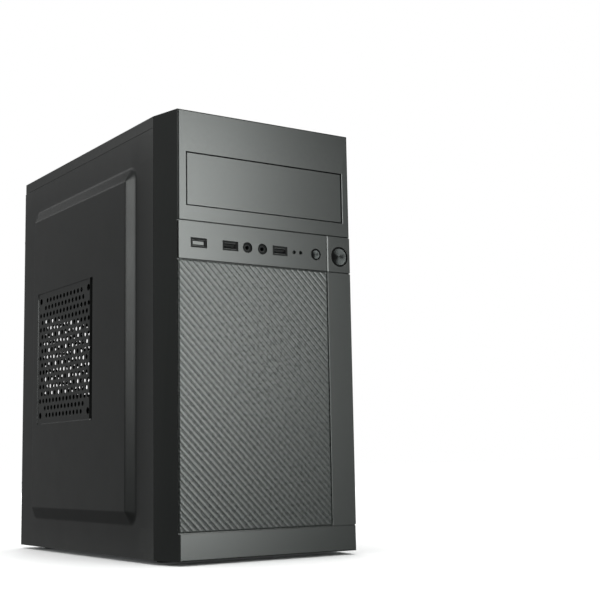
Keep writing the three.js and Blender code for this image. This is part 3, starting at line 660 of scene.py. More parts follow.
def grid_lines(low, high, axis, vented):
    """Lines close together where the sheet bends and far apart where it is flat."""
    spacings = 12
    lines = {round(low + (high - low) * i / spacings, 6) for i in range(spacings + 1)}
    bends = [(PLATEAU["low"][axis], 1, PLATEAU["slope"]), (PLATEAU["high"][axis], -1, PLATEAU["slope"])]
    if vented:
        middle = (VENT["y"], VENT["z"])[axis]
        half = (VENT["width"], VENT["height"])[axis] / 2
        for place in (half + FIELD["slope"], half, half - FIELD["slope"]):
            lines.update((round(middle - place, 6), round(middle + place, 6)))
        if axis == 0:
            lines.update(round(middle - half + place, 6) for place, _ in CHANNEL)
            lines.add(round(middle - half + CHANNEL[-1][0] + FIELD["slope"], 6))
    for edge, way, slope in bends:
        steps = [-0.13, -0.065, 0, 0.065, 0.13, 0.25, 0.37, 0.5, 0.63, 0.75, 0.87, 0.935, 1, 1.065, 1.13]
        lines.update(round(edge + way * slope * t, 6) for t in steps)
    ordered = sorted(lines)
    return [a for a, b in zip(ordered, ordered[1:]) if b - a > 1e-4] + [ordered[-1]]


def pressed_sheet(name, side, vented):
    """The panel's skin as one closed sheet."""
    ys = grid_lines(FRAME_Y, REAR_Y, 0, vented)
    zs = grid_lines(BOTTOM, PANEL_TOP, 1, vented)
    bm = bmesh.new()
    layers = []
    for depth in (0.0, SHEET):
        layer = []
        for y in ys:
            row = []
            for z in zs:
                x = side * (HALF + panel_height(y, z, vented) - depth)
                row.append(bm.verts.new((x, y, z)))
            layer.append(row)
        layers.append(layer)
    outer, inner = layers
    for i in range(len(ys) - 1):
        for j in range(len(zs) - 1):
            for layer in layers:
                bm.faces.new((layer[i][j], layer[i + 1][j], layer[i + 1][j + 1], layer[i][j + 1]))
    for i in range(len(ys) - 1):
        for j in (0, len(zs) - 1):
            bm.faces.new((outer[i][j], outer[i + 1][j], inner[i + 1][j], inner[i][j]))
    for j in range(len(zs) - 1):
        for i in (0, len(ys) - 1):
            bm.faces.new((outer[i][j], outer[i][j + 1], inner[i][j + 1], inner[i][j]))
    return make_object(name, bm)


def vent_holes(side):
    """Seventeen staggered rows of round holes, and a screw hole at each corner."""
    radius, pitch, rows, row_pitch, screws = 0.0022, 0.0076, 17, 0.00655, 0.105
    bm = bmesh.new()
    start = side * (HALF + RAISE + 0.001)
    x = min(start, side * (HALF - 0.001))

    def hole(y, z, size):
        add_bar(bm, "x", (x, y, z), RAISE + 0.002, size, 14)

    for row in range(rows):
        count = 14 if row % 2 else 15
        z = VENT["z"] + (row - (rows - 1) / 2) * row_pitch
        corner_row = row < 2 or row > rows - 3
        for i in range(count):
            across = (i - (count - 1) / 2) * pitch
            if not (corner_row and abs(across) > 0.042):
                hole(VENT["y"] + across, z, radius)
    for dy in (-screws / 2, screws / 2):
        for dz in (-screws / 2, screws / 2):
            hole(VENT["y"] + dy, VENT["z"] + dz, radius * 1.35)
    return bm


def side_panel(name, side, vented):
    """A pressed skin with folded edges, a rear flange, and its vent and screw holes."""
    panel = pressed_sheet(name + "_side_panel_skin", side, vented)
    _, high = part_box(name + "_side_panel")
    flange_y = (high.y - SHEET, high.y)
    hem = sorted((side * (HALF - 0.0025), side * (HALF - SHEET / 2)))
    edge = sorted((side * (HALF - SHEET), side * HALF))
    tab = sorted((side * (HALF - 0.0115), side * HALF))
    folds = [
        (hem, (FRAME_Y, REAR_Y), (BOTTOM, BOTTOM + SHEET)),
        (hem, (FRAME_Y, REAR_Y), (PANEL_TOP - SHEET, PANEL_TOP)),
        (hem, (FRAME_Y, FRAME_Y + SHEET), (BOTTOM, PANEL_TOP)),
        (edge, (REAR_Y - 0.001, flange_y[1]), (BOTTOM, PANEL_TOP)),
        (tab, flange_y, (BOTTOM, PANEL_TOP)),
    ]
    for fold in folds:
        combine(panel, block([s[0] for s in fold], [s[1] for s in fold]), "UNION")
    holes = vent_holes(side) if vented else bmesh.new()
    for i in (1, 2):
        _, _, (x, _, z) = spans(f"{name}_thumbscrew_{i}")
        add_bar(holes, "y", (x, REAR_Y - 0.001, z), 0.004, 0.0019)
    combine(panel, holes, "DIFFERENCE")
    tidy_faces(panel, 26)
    return settle(panel, "painted_steel", name + "_side_panel", name + "_side_panel")


# ---------------------------------------------------------------- front


def tapered_tray(bm, inset, front, rear, low, high):
    """A block as wide as the bezel at each depth, less an inset."""
    depth = BEZEL_Y - FRONT_Y

    def half(y):
        return FRONT_HALF + (HALF - FRONT_HALF) * (y - FRONT_Y) / depth - inset

    verts = add_block(bm, (-1, front, low), (1, rear, high))
    for v in verts:
        v.co.x *= half(v.co.y)
    return verts


def rounded_edges(bm, verts, test, radius, segments=4):
    """Rounds the edges of some vertices whose two ends pass a test."""
    edges = {e for v in verts for e in v.link_edges if test(*e.verts)}
    bmesh.ops.bevel(
        bm, geom=list(edges), offset=radius, offset_type="OFFSET", segments=segments,
        profile=0.5, affect="EDGES", clamp_overlap=True,
    )


def front_bezel():
    """The moulded shell, with its outer edges rounded before the pocket and holes are cut."""
    wall = 0.004
    bm = bmesh.new()
    verts = tapered_tray(bm, 0, FRONT_Y, BEZEL_Y, BOTTOM, TOP)
    rounded_edges(bm, verts, lambda a, b: a.co.y < FRONT_Y + 1e-5 and b.co.y < FRONT_Y + 1e-5, 0.0011, 6)
    shell = make_object("front_bezel_shell", bm)
    tools = bmesh.new()
    tapered_tray(tools, 0.0025, FRONT_Y + wall, BEZEL_Y + 0.001, BOTTOM + 0.0025, TOP - 0.0025)
    combine(shell, tools, "DIFFERENCE")
    before, behind = FRONT_Y - 0.001, FRONT_Y + wall + 0.001
    gap = 0.8 * MM
    recess = block((-HALF, before, TWILL_LOW.z - gap), (HALF, FRONT_Y + 0.002, IO_TOP + gap))
    combine(shell, recess, "DIFFERENCE")
    cover_low, cover_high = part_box("bay_cover")
    lip, eased = 0.0015, 0.00007
    outline = [
        (cover_high.x, before), (cover_high.x + lip, before), (cover_high.x + lip, FRONT_Y),
        (cover_high.x + gap, FRONT_Y + eased), (cover_high.x, FRONT_Y + eased),
    ]
    combine(shell, prism(outline, cover_low.z - gap, cover_high.z + gap), "DIFFERENCE")
    tools = block(
        (cover_low.x - gap, before, cover_low.z - gap), (cover_high.x + gap, behind, cover_high.z + gap)
    )
    controls = spans("usb_port_left")[2][2]
    add_block(tools, (-0.073, before, controls - 0.006), (0.036, behind, controls + 0.006))
    for button in ("power_button", "reset_button"):
        low, high, (x, _, _) = spans(button)
        radius = (high.x - low.x) / 2 + 0.0003 - 0.0008
        add_bar(tools, "y", (x, before, controls), behind - before, radius, 40)
    for i in range(-4, 5):
        x = i * 0.0135
        slot_rear = (x + 0.0045, BEZEL_Y - 0.006, BOTTOM + 0.004)
        add_block(tools, (x - 0.0045, FRONT_Y + 0.010, BOTTOM - 0.001), slot_rear)
    combine(shell, tools, "DIFFERENCE")
    parts = bmesh.new()
    root = FRONT_Y + wall - 0.001
    for x, z in ((-0.078, 0.334), (-0.076, 0.014), (0.078, 0.334), (0.076, 0.014)):
        add_block(parts, (x - 0.003, root, z - 0.003), (x + 0.003, BEZEL_HIGH.y, z + 0.003))
    for z in (controls - 0.0046, controls + 0.0049):
        add_bar(parts, "y", (0.0568, root, z), 0.0097, 0.0015, 16)
    combine(shell, parts, "UNION")
    tidy_faces(shell)
    soften(shell, 0.00022, 2, 40, curves=False)
    return settle(shell, "satin_plastic", "front_bezel", "front_bezel")


def twill_panel():
    """The insert's moulded twill: slanting ribs with grooves between, notched where tows cross."""
    step = 0.0007
    period = 8
    relief = 0.0004
    rib = (0.0, 0.48, 0.88, 1.0, 0.94, 1.0, 0.88, 0.48)
    notches = {3: 1, 4: 0, 5: 3}
    low, high = TWILL_LOW, TWILL_HIGH
    columns = int(round((high.x - low.x) / step))
    rows = int(round((high.z - low.z) / step))
    bm = bmesh.new()
    grid = []
    for i in range(columns + 1):
        column = []
        for j in range(rows + 1):
            crown = rib[(i + j) % period]
            if (i - j) % 4 == notches.get((i + j) % period, -1):
                crown -= 0.4
            if i == columns or j in (0, rows):
                crown = 0.0
            left = max(0.0, 1 - i * step / 0.0009)
            depth = relief * (1 - max(crown, 0.0)) + 0.0005 * (1 - math.sqrt(1 - left**2))
            x = low.x + (high.x - low.x) * i / columns
            z = low.z + (high.z - low.z) * j / rows
            column.append(bm.verts.new((x, low.y + depth, z)))
        grid.append(column)
    for i in range(columns):
        for j in range(rows):
            a, b, c, d = grid[i][j], grid[i + 1][j], grid[i + 1][j + 1], grid[i][j + 1]
            bm.faces.new((a, b, d))
            bm.faces.new((b, c, d))
    border = [grid[i][0] for i in range(columns + 1)]
    border += [grid[columns][j] for j in range(1, rows + 1)]
    border += [grid[i][rows] for i in range(columns - 1, -1, -1)]
    border += [grid[0][j] for j in range(rows - 1, 0, -1)]
    back = [bm.verts.new((v.co.x, high.y, v.co.z)) for v in border]
    for k, v in enumerate(border):
        n = (k + 1) % len(border)
        bm.faces.new((border[n], v, back[k], back[n]))
    bm.faces.new(back)
    panel = make_object("twill_panel", bm, 75)
    return settle(panel, "ribbed_plastic", "front_bezel", "textured_panel")


def push_button(node, sides=64):
    """A dark rim with a collar and a stem, and a turned metal disc set into its face."""
    low, high, (x, _, z) = spans(node)
    radius = (high.x - low.x) / 2 - 0.0008
    face, length = low.y, high.y - low.y
    disc = radius - 0.0007
    rim = [
        (0.0008, 0), (0.0008, disc), (0.0001, disc), (0.0, disc + 0.0002), (0.0001, disc + 0.0004),
        (0.0005, radius), (0.0043, radius), (0.0043, radius + 0.0008), (0.0053, radius + 0.0008),
        (0.0053, 0.002), (length - 0.0002, 0.002), (length, 0.0017), (length, 0),
    ]
    shell = turned((x, face, z), "y", rim, sides)
    settle(make_object(node + "_rim", shell, 25), "shaded_plastic", node, node)
    dish = radius * 0.035
    shares = (0.2, 0.4, 0.6, 0.8, 1.0)
    profile = [(dish, 0)] + [(dish * (1 - t**2) + 0.0001 * t, disc * 0.93 * t) for t in shares]
    profile += [(0.0003, disc - 0.0001), (0.0010, disc - 0.0001), (0.0010, 0)]
    inset = turned((x, face, z), "y", profile, sides)
    settle(make_object(node + "_disc", inset, 25), "spun_metal", node)


def add_prism(bm, points, low, high, axis="z"):
    """Adds a closed form with an outline in the other two coordinates, from one end to the other."""
    def spot(point, along):
        place = list(point)
        place.insert("xyz".index(axis), along)
        return place

    bottom = [bm.verts.new(spot(point, low)) for point in points]
    top = [bm.verts.new(spot(point, high)) for point in points]
    bm.faces.new(bottom[::-1])
    bm.faces.new(top)
    for i, v in enumerate(bottom):
        n = (i + 1) % len(bottom)
        bm.faces.new((v, bottom[n], top[n], top[i]))


def prism(points, low, high):
    bm = bmesh.new()
    add_prism(bm, points, low, high)
    return bm


def edged_plate(node, chamfer, drop):
    """An insert whose left edge is drawn down in a shallow slope that catches the light."""
    low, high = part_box(node)
    obj = copy_of(node, "_plate")
    tidy_faces(obj)
    outline = [
        (low.x - 0.001, low.y - 0.001), (low.x + chamfer, low.y - 0.001),
        (low.x + chamfer, low.y), (low.x, low.y + drop), (low.x - 0.001, low.y + drop),
    ]
    combine(obj, prism(outline, low.z - 0.001, high.z + 0.001), "DIFFERENCE")
    tidy_faces(obj)
    soften(obj, 0.00015, curves=False)
    return settle(obj, "satin_plastic", "front_bezel", node)


def bay_cover():
    """The blank over the drive bay: the CAD's shallow tray with its edges rounded."""
    obj = copy_of("bay_cover", "_blank")
    tidy_faces(obj)
    soften(obj, 0.00045, 3)
    return settle(obj, "satin_plastic", "bay_cover", "bay_cover")


def usb_port(node, tongue_material, tongue_height):
    """A collar, a rolled metal shell, and a tongue with its four contacts."""
    low, high, (x, _, z) = spans(node)
    half = Vector(((high.x - low.x) / 2, 0, (high.z - low.z) / 2))

    def rounded_block(width, height, front, rear, radius):
        bm = block((x - width, front, z - height), (x + width, rear, z + height))
        rounded_edges(bm, bm.verts, lambda a, b: abs(a.co.y - b.co.y) > 1e-6, radius)
        return bm

    def ring(name, width, height, wall, front, rear, radius, material, *nodes):
        obj = make_object(name, rounded_block(width, height, front, rear, radius))
        inner = max(radius - wall, 0.0001)
        tool = rounded_block(width - wall, height - wall, front - 0.001, rear - 0.0006, inner)
        combine(obj, tool, "DIFFERENCE")
        tidy_faces(obj)
        soften(obj, 0.00008, 1)
        settle(obj, material, "chassis", *nodes)

    collar = 0.0011
    ring(node + "_collar", half.x, half.z, collar, low.y, low.y + 0.012, 0.0004, "shaded_plastic", node)
    ring(
        node + "_shell", half.x - collar, half.z - collar, 0.0003, low.y + 0.0007, high.y,
        0.0007, "port_metal",
    )
    thin = tongue_height < 0.0025
    middle = z + 0.0006 if thin else z
    tongue_front = low.y + (0.0017 if thin else 0.0007)
    bottom, top = middle - tongue_height / 2, middle + tongue_height / 2
    bm = block((x - 0.0049, tongue_front, bottom), (x + 0.0049, high.y - 0.001, top))
    tongue = make_object(node + "_tongue", bm)
    soften(tongue, 0.0002)
    settle(tongue, tongue_material, "chassis")
    bm = bmesh.new()
    for i in range(4):
        left = x + (i - 1.5) * 0.0023 - 0.0005
        right = x + (i - 1.5) * 0.0023 + 0.0005
        add_block(bm, (left, low.y + 0.003, bottom - 0.00015), (right, low.y + 0.011, bottom + 0.0001))
    settle(make_object(node + "_contacts", bm), "port_metal", "chassis")


def audio_jack(node):
    """A black barrel with a lighter sleeve set into it."""
    low, high, (x, _, z) = spans(node)
    z -= 0.0005
    profile = [
        (0.0145, 0), (0.0145, 0.0018), (0.0009, 0.0018), (0.0009, 0.0021), (0.0005, 0.0029),
        (0.0, 0.0031), (0.0, 0.0036), (0.0003, 0.0039), (0.0042, 0.0039), (0.0042, 0.0044),
        (high.y - low.y, 0.0034), (high.y - low.y, 0),
    ]
    profile = [(a, min(r, z - low.z)) for a, r in profile]
    barrel = turned((x, low.y, z), "y", profile)
    settle(make_object(node + "_barrel", barrel, 40), "shaded_plastic", "chassis", node)
    sleeve = [
        (0.0007, 0.00175), (0.0005, 0.00195), (0.0005, 0.0023), (0.0008, 0.0026),
        (0.0030, 0.0026), (0.0030, 0.00175), (0.0007, 0.00175),
    ]
    bm = turned((x, low.y, z), "y", sleeve)
    bmesh.ops.remove_doubles(bm, verts=bm.verts, dist=1e-7)
    settle(make_object(node + "_sleeve", bm, 40), "dark_plastic", "chassis")


def lamp(node):
    """A light guide with a domed end, a little below the surface."""
    low, high, (x, _, _) = spans(node)
    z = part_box("usb_port_left")[0].z + 0.0035
    radius, length = 0.0012, 0.0070
    dome = [(0.0007, 0)] + [(0.0007 + 0.0006 * t**2, radius * t) for t in (0.35, 0.7, 1.0)]
    bm = turned((x, low.y, z), "y", dome + [(length, radius), (length, 0)], 24)
    guide = make_object(node + "_guide", bm)
    combine(guide, block((low.x, high.y - 0.003, low.z), (high.x, high.y, z + 0.0014)), "UNION")
    tidy_faces(guide)
    soften(guide, 0.0001)
    settle(guide, "lamp_lens", "chassis", node)


# ---------------------------------------------------------------- rear and underside


def detail(name, bm, material, node, *replaced, width=None, sharp=30):
    """A piece that goes with a CAD node and moves with its body."""
    obj = make_object(name, bm, sharp)
    if width:
        tidy_faces(obj)
        soften(obj, width)
    return settle(obj, material, node_bodies[node], *replaced)


def bridge(bm, rings, closed=False):
    """Faces between neighbouring rings of vertices, with a cap on each open end."""
    pairs = list(zip(rings, rings[1:]))
    if closed:
        pairs.append((rings[-1], rings[0]))
    for a, b in pairs:
        for i in range(len(a)):
            j = (i + 1) % len(a)
            bm.faces.new((a[i], a[j], b[j], b[i]))
    if not closed:
        bm.faces.new(rings[0][::-1])
        bm.faces.new(rings[-1])


def add_screw(bm, place, axis, way, radius):
    """A pan head with a cross-shaped recess."""
    shape = [(0, 1, False), (0.3, 1, False), (0.5, 0.86, False), (0.6, 0.62, False)]
    shape += [(0.6, 0.56, True), (0.2, 0.44, True)]
    rings = []
    for along, size, cross in shape:
        ring = []
        for i in range(32):
            angle = math.pi * i / 16
            reach = radius * size * ((0.3 + 0.7 * abs(math.cos(2 * angle)) ** 4) if cross else 1)
            point = Vector((reach * math.cos(angle), reach * math.sin(angle), way * along * radius))
            ring.append(bm.verts.new(Vector(place) + AXIS_TURN[axis] @ point))
        rings.append(ring)
    bridge(bm, rings)


def add_hoop(bm, centre, axis, radius, wire, sides=72):
    """A ring of round wire."""
    rings = []
    for i in range(sides):
        angle = 2 * math.pi * i / sides
        ring = []
        for k in range(10):
            lean = 2 * math.pi * k / 10
            reach = radius + wire * math.cos(lean)
            point = Vector((reach * math.cos(angle), reach * math.sin(angle), wire * math.sin(lean)))
            ring.append(bm.verts.new(Vector(centre) + AXIS_TURN[axis] @ point))
        rings.append(ring)
    bridge(bm, rings, closed=True)


def knurled_screw(node):
    """A thumbscrew: toothed grip with eased rims, a slot across it, a neck and a shank."""
    low, high, (x, _, z) = spans(node)
    radius = (high.x - low.x) / 2
    grip, tall = 0.0053, high.y
    shape = ((tall - grip, 0.86), (tall - grip + 0.0006, 1), (tall - 0.0006, 1), (tall, 0.86))
    bm = bmesh.new()
    rings = []
    for y, size in shape:
        ring = []
        for i in range(72):
            angle = math.pi * i / 36
            reach = radius * size * (1 if i % 3 else 0.93)
            ring.append(bm.verts.new((x + reach * math.cos(angle), y, z + reach * math.sin(angle))))
        rings.append(ring)
    bridge(bm, rings)
    head = make_object(node + "_head", bm)
    reach = radius + 0.001
    slot = block((x - reach, tall - 0.0009, z - 0.0006), (x + reach, tall + 0.001, z + 0.0006))
    combine(head, slot, "DIFFERENCE")
    tidy_faces(head)
    settle(head, "zinc_steel", node_bodies[node], node)
    shank, turns, pitch = 0.0016, 9, 0.0006
    profile = [(0, 0), (0, shank * 0.7), (0.0008, shank)]
    for i in range(turns):
        profile += [(0.0010 + i * pitch, shank), (0.0013 + i * pitch, shank * 0.84)]
    neck = tall - grip - 0.0012 - low.y
    profile += [(neck, shank), (neck, 0.0035), (neck + 0.0013, 0.0035), (neck + 0.0013, 0)]
    detail(node + "_shank", turned((x, low.y, z), "y", profile, 24), "zinc_steel", node)


def rubber_foot(node):
    """A tapered foot with a hollow in its tread."""
    low, high, (x, y, _) = spans(node)
    wide = (high.x - low.x) / 2
    narrow = wide - 0.0015
    height = high.z - low.z
    profile = [(0.0007, 0), (0.0007, narrow * 0.45), (0, narrow * 0.55), (0, narrow - 0.0005)]
    profile += [(0.0005, narrow), (height - 0.0003, wide), (height, wide - 0.0003), (height, 0)]
    detail(node + "_tread", turned((x, y, low.z), "z", profile), "rubber", node, node)


def rear_screws():
    """The screws that hold the power supply, and those of the four slot covers."""
    low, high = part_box("power_supply_case")
    bm = bmesh.new()
    for x in (low.x + 0.006, high.x - 0.006):
        for z in (low.z + 0.0065, high.z - 0.0065):
            add_screw(bm, (x, REAR_Y, z), "y", 1, 0.0031)
    detail("power_supply_screws", bm, "zinc_steel", "rear_panel")
    bm = bmesh.new()
    for i in range(4):
        low, high, (_, _, z) = spans(f"slot_cover_{i + 1}")
        add_screw(bm, (low.x, high.y - 0.0048, z), "x", -1, 0.0028)
    detail("slot_cover_screws", bm, "zinc_steel", "slot_cover_1")


def rear_sockets():
    """What shows inside the sockets at the rear: tongues, contacts and the audio rings."""
    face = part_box("rear_port_block")[1].y
    tongues, contacts = bmesh.new(), bmesh.new()
    for z in (0.158, 0.176, 0.194):
        for x in (0.050, 0.064):
            start = (x - 0.0011, face - 0.0085, z - 0.0056)
            add_block(tongues, start, (x + 0.0011, face - 0.0007, z + 0.0056))
            for k in range(4):
                start = (x - 0.0013, face - 0.0080, z + (k - 1.5) * 0.0025 - 0.0005)
                add_block(contacts, start, (start[0] + 0.0003, start[1] + 0.0068, start[2] + 0.001))
    for k in range(8):
        x = 0.054 + (k - 3.5) * 0.00105
        add_block(contacts, (x - 0.0002, face - 0.011, 0.2180), (x + 0.0002, face - 0.0026, 0.2190))
    add_block(tongues, (0.0528, face - 0.0062, 0.2298), (0.0672, face - 0.0009, 0.2382))
    detail("rear_port_tongues", tongues, "dark_plastic", "rear_port_block", width=0.00015)
    # A dark lining inside the network socket: painted shade that darkens the socket's inside.
    bm = block((0.0479, face - 0.0121, 0.2119), (0.0601, face - 0.0003, 0.2211))
    liner = make_object("rear_network_liner", bm)
    hollow = block((0.0483, face - 0.0116, 0.2123), (0.0597, face + 0.001, 0.2207))
    combine(liner, hollow, "DIFFERENCE")
    tidy_faces(liner)
    settle(liner, "dark_plastic", "chassis")
    detail("rear_port_contacts", contacts, "gold_contact", "rear_port_block")
    bm = bmesh.new()
    section = [(-0.009, 0.00185), (-0.009, 0.0022), (0.0, 0.0036), (0.0004, 0.0036)]
    section += [(0.0006, 0.0034), (0.0006, 0.0021), (0.0003, 0.00185)]
    angles = [2 * math.pi * i / 32 for i in range(32)]
    for z in (0.105, 0.117, 0.129):
        rings = []
        for along, radius in section:
            ring = [(0.0685 + radius * math.cos(a), face + along, z + radius * math.sin(a)) for a in angles]
            rings.append([bm.verts.new(place) for place in ring])
        bridge(bm, rings, closed=True)
    detail("audio_port_rings", bm, "grey_plastic", "audio_port_block")


# ---------------------------------------------------------------- inside


def fan_rotor(node, axis, radius, hub, count):
    """A capped hub with thin blades that twist, curve and lean back."""
    low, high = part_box(node)
    index = "xyz".index(axis)
    height = high[index] - low[index]
    start = (low + high) / 2
    start[index] = low[index]
    profile = [(0, 0), (0, hub - 0.0004), (0.0004, hub), (height - 0.0014, hub)]
    profile += [(height - 0.0004, hub - 0.0005), (height, hub - 0.0018), (height, hub * 0.55)]
    profile += [(height - 0.0003, hub * 0.5), (height - 0.0003, 0)]
    detail(node + "_hub", turned(start, axis, profile, 56), "dark_plastic", node, node)
    bm = bmesh.new()
    for k in range(count):
        rings = []
        for i in range(11):
            share = i / 10  # from the hub to the tip
            r = hub - 0.0008 + (radius - hub + 0.0006) * share
            lean = 0.42 * share
            width = (0.95 - 0.25 * share) * 2 * math.pi / count
            chord, under = [], []
            for j in range(9):
                t = j / 8
                angle = 2 * math.pi * k / count + lean + width * (t - 0.5)
                rise = height * (0.12 + 0.76 * (0.55 * t + 0.45 * t * t))
                thick = 0.0007 * (0.35 + math.sin(math.pi * t))
                for line, side in ((chord, 1), (under, -1)):
                    point = Vector((r * math.cos(angle), r * math.sin(angle), rise + side * thick))
                    line.append(bm.verts.new(start + AXIS_TURN[axis] @ point))
            rings.append(chord + under[::-1])
        bridge(bm, rings)
    return detail(node + "_blades", bm, "dark_plastic", node, sharp=50)


def fan_guard():
    """Rings of round wire on four spokes round the motor's seat."""
    guard = "power_supply_fan_guard"
    low, high, (x, y, _) = spans(guard)
    wire = 0.0007
    z = low.z + wire
    bm = bmesh.new()
    for radius in (0.026, 0.032, 0.038, 0.044, 0.050, 0.056):
        add_hoop(bm, (x, y, z), "z", radius, wire)
    reach = (high.x - low.x) / 2 - 0.002
    add_bar(bm, "x", (x - reach, y, z), 2 * reach, wire, 12)
    add_bar(bm, "y", (x, y - reach, z), 2 * reach, wire, 12)
    detail(guard + "_wires", bm, "zinc_steel", guard, guard)
    seat, height = 0.019, high.z - low.z
    profile = [(0, 0), (0, seat - 0.0006), (0.0006, seat), (height, seat), (height, 0)]
    detail("power_supply_fan_seat", turned((x, y, low.z), "z", profile), "dark_plastic", guard)


def finned_cooler():
    """A stack of thin fins with cut corners on a thick base, and the foot on the processor."""
    node = "cpu_heatsink"
    low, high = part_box(node)
    back = high.x - 0.0135
    nick = 0.004
    outline = [
        (low.x, low.y + nick), (low.x + nick, low.y), (back, low.y), (back, high.y),
        (low.x + nick, high.y), (low.x, high.y - nick),
    ]
    count, thick = 27, 0.0006
    bm = bmesh.new()
    for i in range(count):
        z = low.z + (high.z - low.z - thick) * i / (count - 1)
        add_prism(bm, outline, z, z + thick)
    detail(node + "_fins", bm, "aluminium", node, node)
    bm = block((high.x - 0.014, low.y, low.z), (high.x - 0.006, high.y, high.z))
    middle, reach = (low + high) / 2, Vector((0, 0.019, 0.019))
    near, far = middle - reach, middle + reach
    add_block(bm, (high.x - 0.007, near.y, near.z), (high.x, far.y, far.z))
    detail(node + "_base", bm, "aluminium", node, width=0.0006)


def fan_frame():
    """The CAD's frame with rounded edges, and the screws at its corners."""
    refined("cpu_fan_frame", 0.0008, "dark_plastic", 3)
    low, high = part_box("cpu_fan_frame")
    bm = bmesh.new()
    for y in (low.y + 0.0042, high.y - 0.0042):
        for z in (low.z + 0.0042, high.z - 0.0042):
            add_screw(bm, (low.x, y, z), "x", -1, 0.0022)
    detail("cpu_fan_screws", bm, "zinc_steel", "cpu_fan_frame")


def memory():
    """The module with its chips on both faces, and the slot with a latch at each end."""
    node = "memory_module"
    low, high, (_, y, _) = spans(node)
    thick = 0.0007
    notch = low.z + (high.z - low.z) * 0.54
    outline = [
        (low.x, low.z), (high.x, low.z), (high.x, notch - 0.0012), (high.x - 0.0035, notch - 0.0012),
        (high.x - 0.0035, notch + 0.0012), (high.x, notch + 0.0012), (high.x, high.z),
        (low.x + 0.012, high.z), (low.x + 0.0105, high.z - 0.0015), (low.x + 0.0075, high.z - 0.0015),
        (low.x + 0.006, high.z), (low.x, high.z),
    ]
    bm = bmesh.new()
    add_prism(bm, outline, y - thick, y + thick, "y")
    detail(node + "_board", bm, "circuit_board", node, node)
    chips, parts, fingers = bmesh.new(), bmesh.new(), bmesh.new()
    for side in (-1, 1):
        near, far = sorted((y + side * thick, y + side * (thick + 0.0009)))
        for k in range(8):
            z = low.z + (high.z - low.z) * (k + 0.5) / 8
            add_block(chips, (low.x + 0.007, near, z - 0.0048), (low.x + 0.018, far, z + 0.0048))
            inner, outer = sorted((y + side * thick, y + side * (thick + 0.0005)))
            for n in range(3):
                start = (low.x + 0.0205, inner, z + (n - 1) * 0.0038 - 0.0008)
                add_block(parts, start, (low.x + 0.0214, outer, z + (n - 1) * 0.0038 + 0.0008))
        face, edge = sorted((y + side * thick, y + side * (thick + 0.0001)))
        for k in range(60):
            z = low.z + 0.004 + (high.z - low.z - 0.008) * k / 59
            add_block(fingers, (high.x - 0.003, face, z - 0.0006), (high.x - 0.0002, edge, z + 0.0006))
    detail("memory_chips", chips, "dark_plastic", node, width=0.0002)
    detail("memory_small_parts", parts, "grey_plastic", node)
    detail("memory_contacts", fingers, "gold_contact", node)
    low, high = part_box("memory_slot")
    slot = make_object("memory_slot_body", block(low, high))
    groove = block((low.x - 0.001, y - 0.001, low.z + 0.002), (low.x + 0.0008, y + 0.001, high.z - 0.002))
    combine(slot, groove, "DIFFERENCE")
    tidy_faces(slot)
    soften(slot, 0.0003)
    settle(slot, "dark_plastic", "chassis", "memory_slot")
    bm = bmesh.new()
    middle, top = high.x - 0.010, high.x - 0.018
    for end, way in ((low.z, -1), (high.z, 1)):
        outline = [(high.x, end), (high.x, end + way * 0.006), (middle, end + way * 0.008)]
        outline += [(top, end + way * 0.006), (top, end + way * 0.0015), (middle, end)]
        add_prism(bm, outline, y - 0.0028, y + 0.0028, "y")
    detail("memory_latches", bm, "light_plastic", "memory_slot", width=0.0004)


def add_chip(body, legs, face, y, z, across, along, height):
    """A flat package with a row of bent legs on two sides."""
    start = (face - height, y - across / 2, z - along / 2)
    add_block(body, start, (face - 0.0002, start[1] + across, start[2] + along))
    count = int(along / 0.0013)
    for k in range(count):
        place = z - along / 2 + along * (k + 0.5) / count
        for side in (-1, 1):
            near = y + side * across / 2
            inner, outer = sorted((near - side * 0.0002, near + side * 0.0012))
            start = (face - 0.0005, inner, place - 0.00025)
            add_block(legs, start, (face - 0.0001, outer, place + 0.00025))


def between_points(start, end, count):
    """Evenly spaced places from one end of a row to the other."""
    start, end = Vector(start), Vector(end)
    return [tuple(start.lerp(end, i / (count - 1))) for i in range(count)]


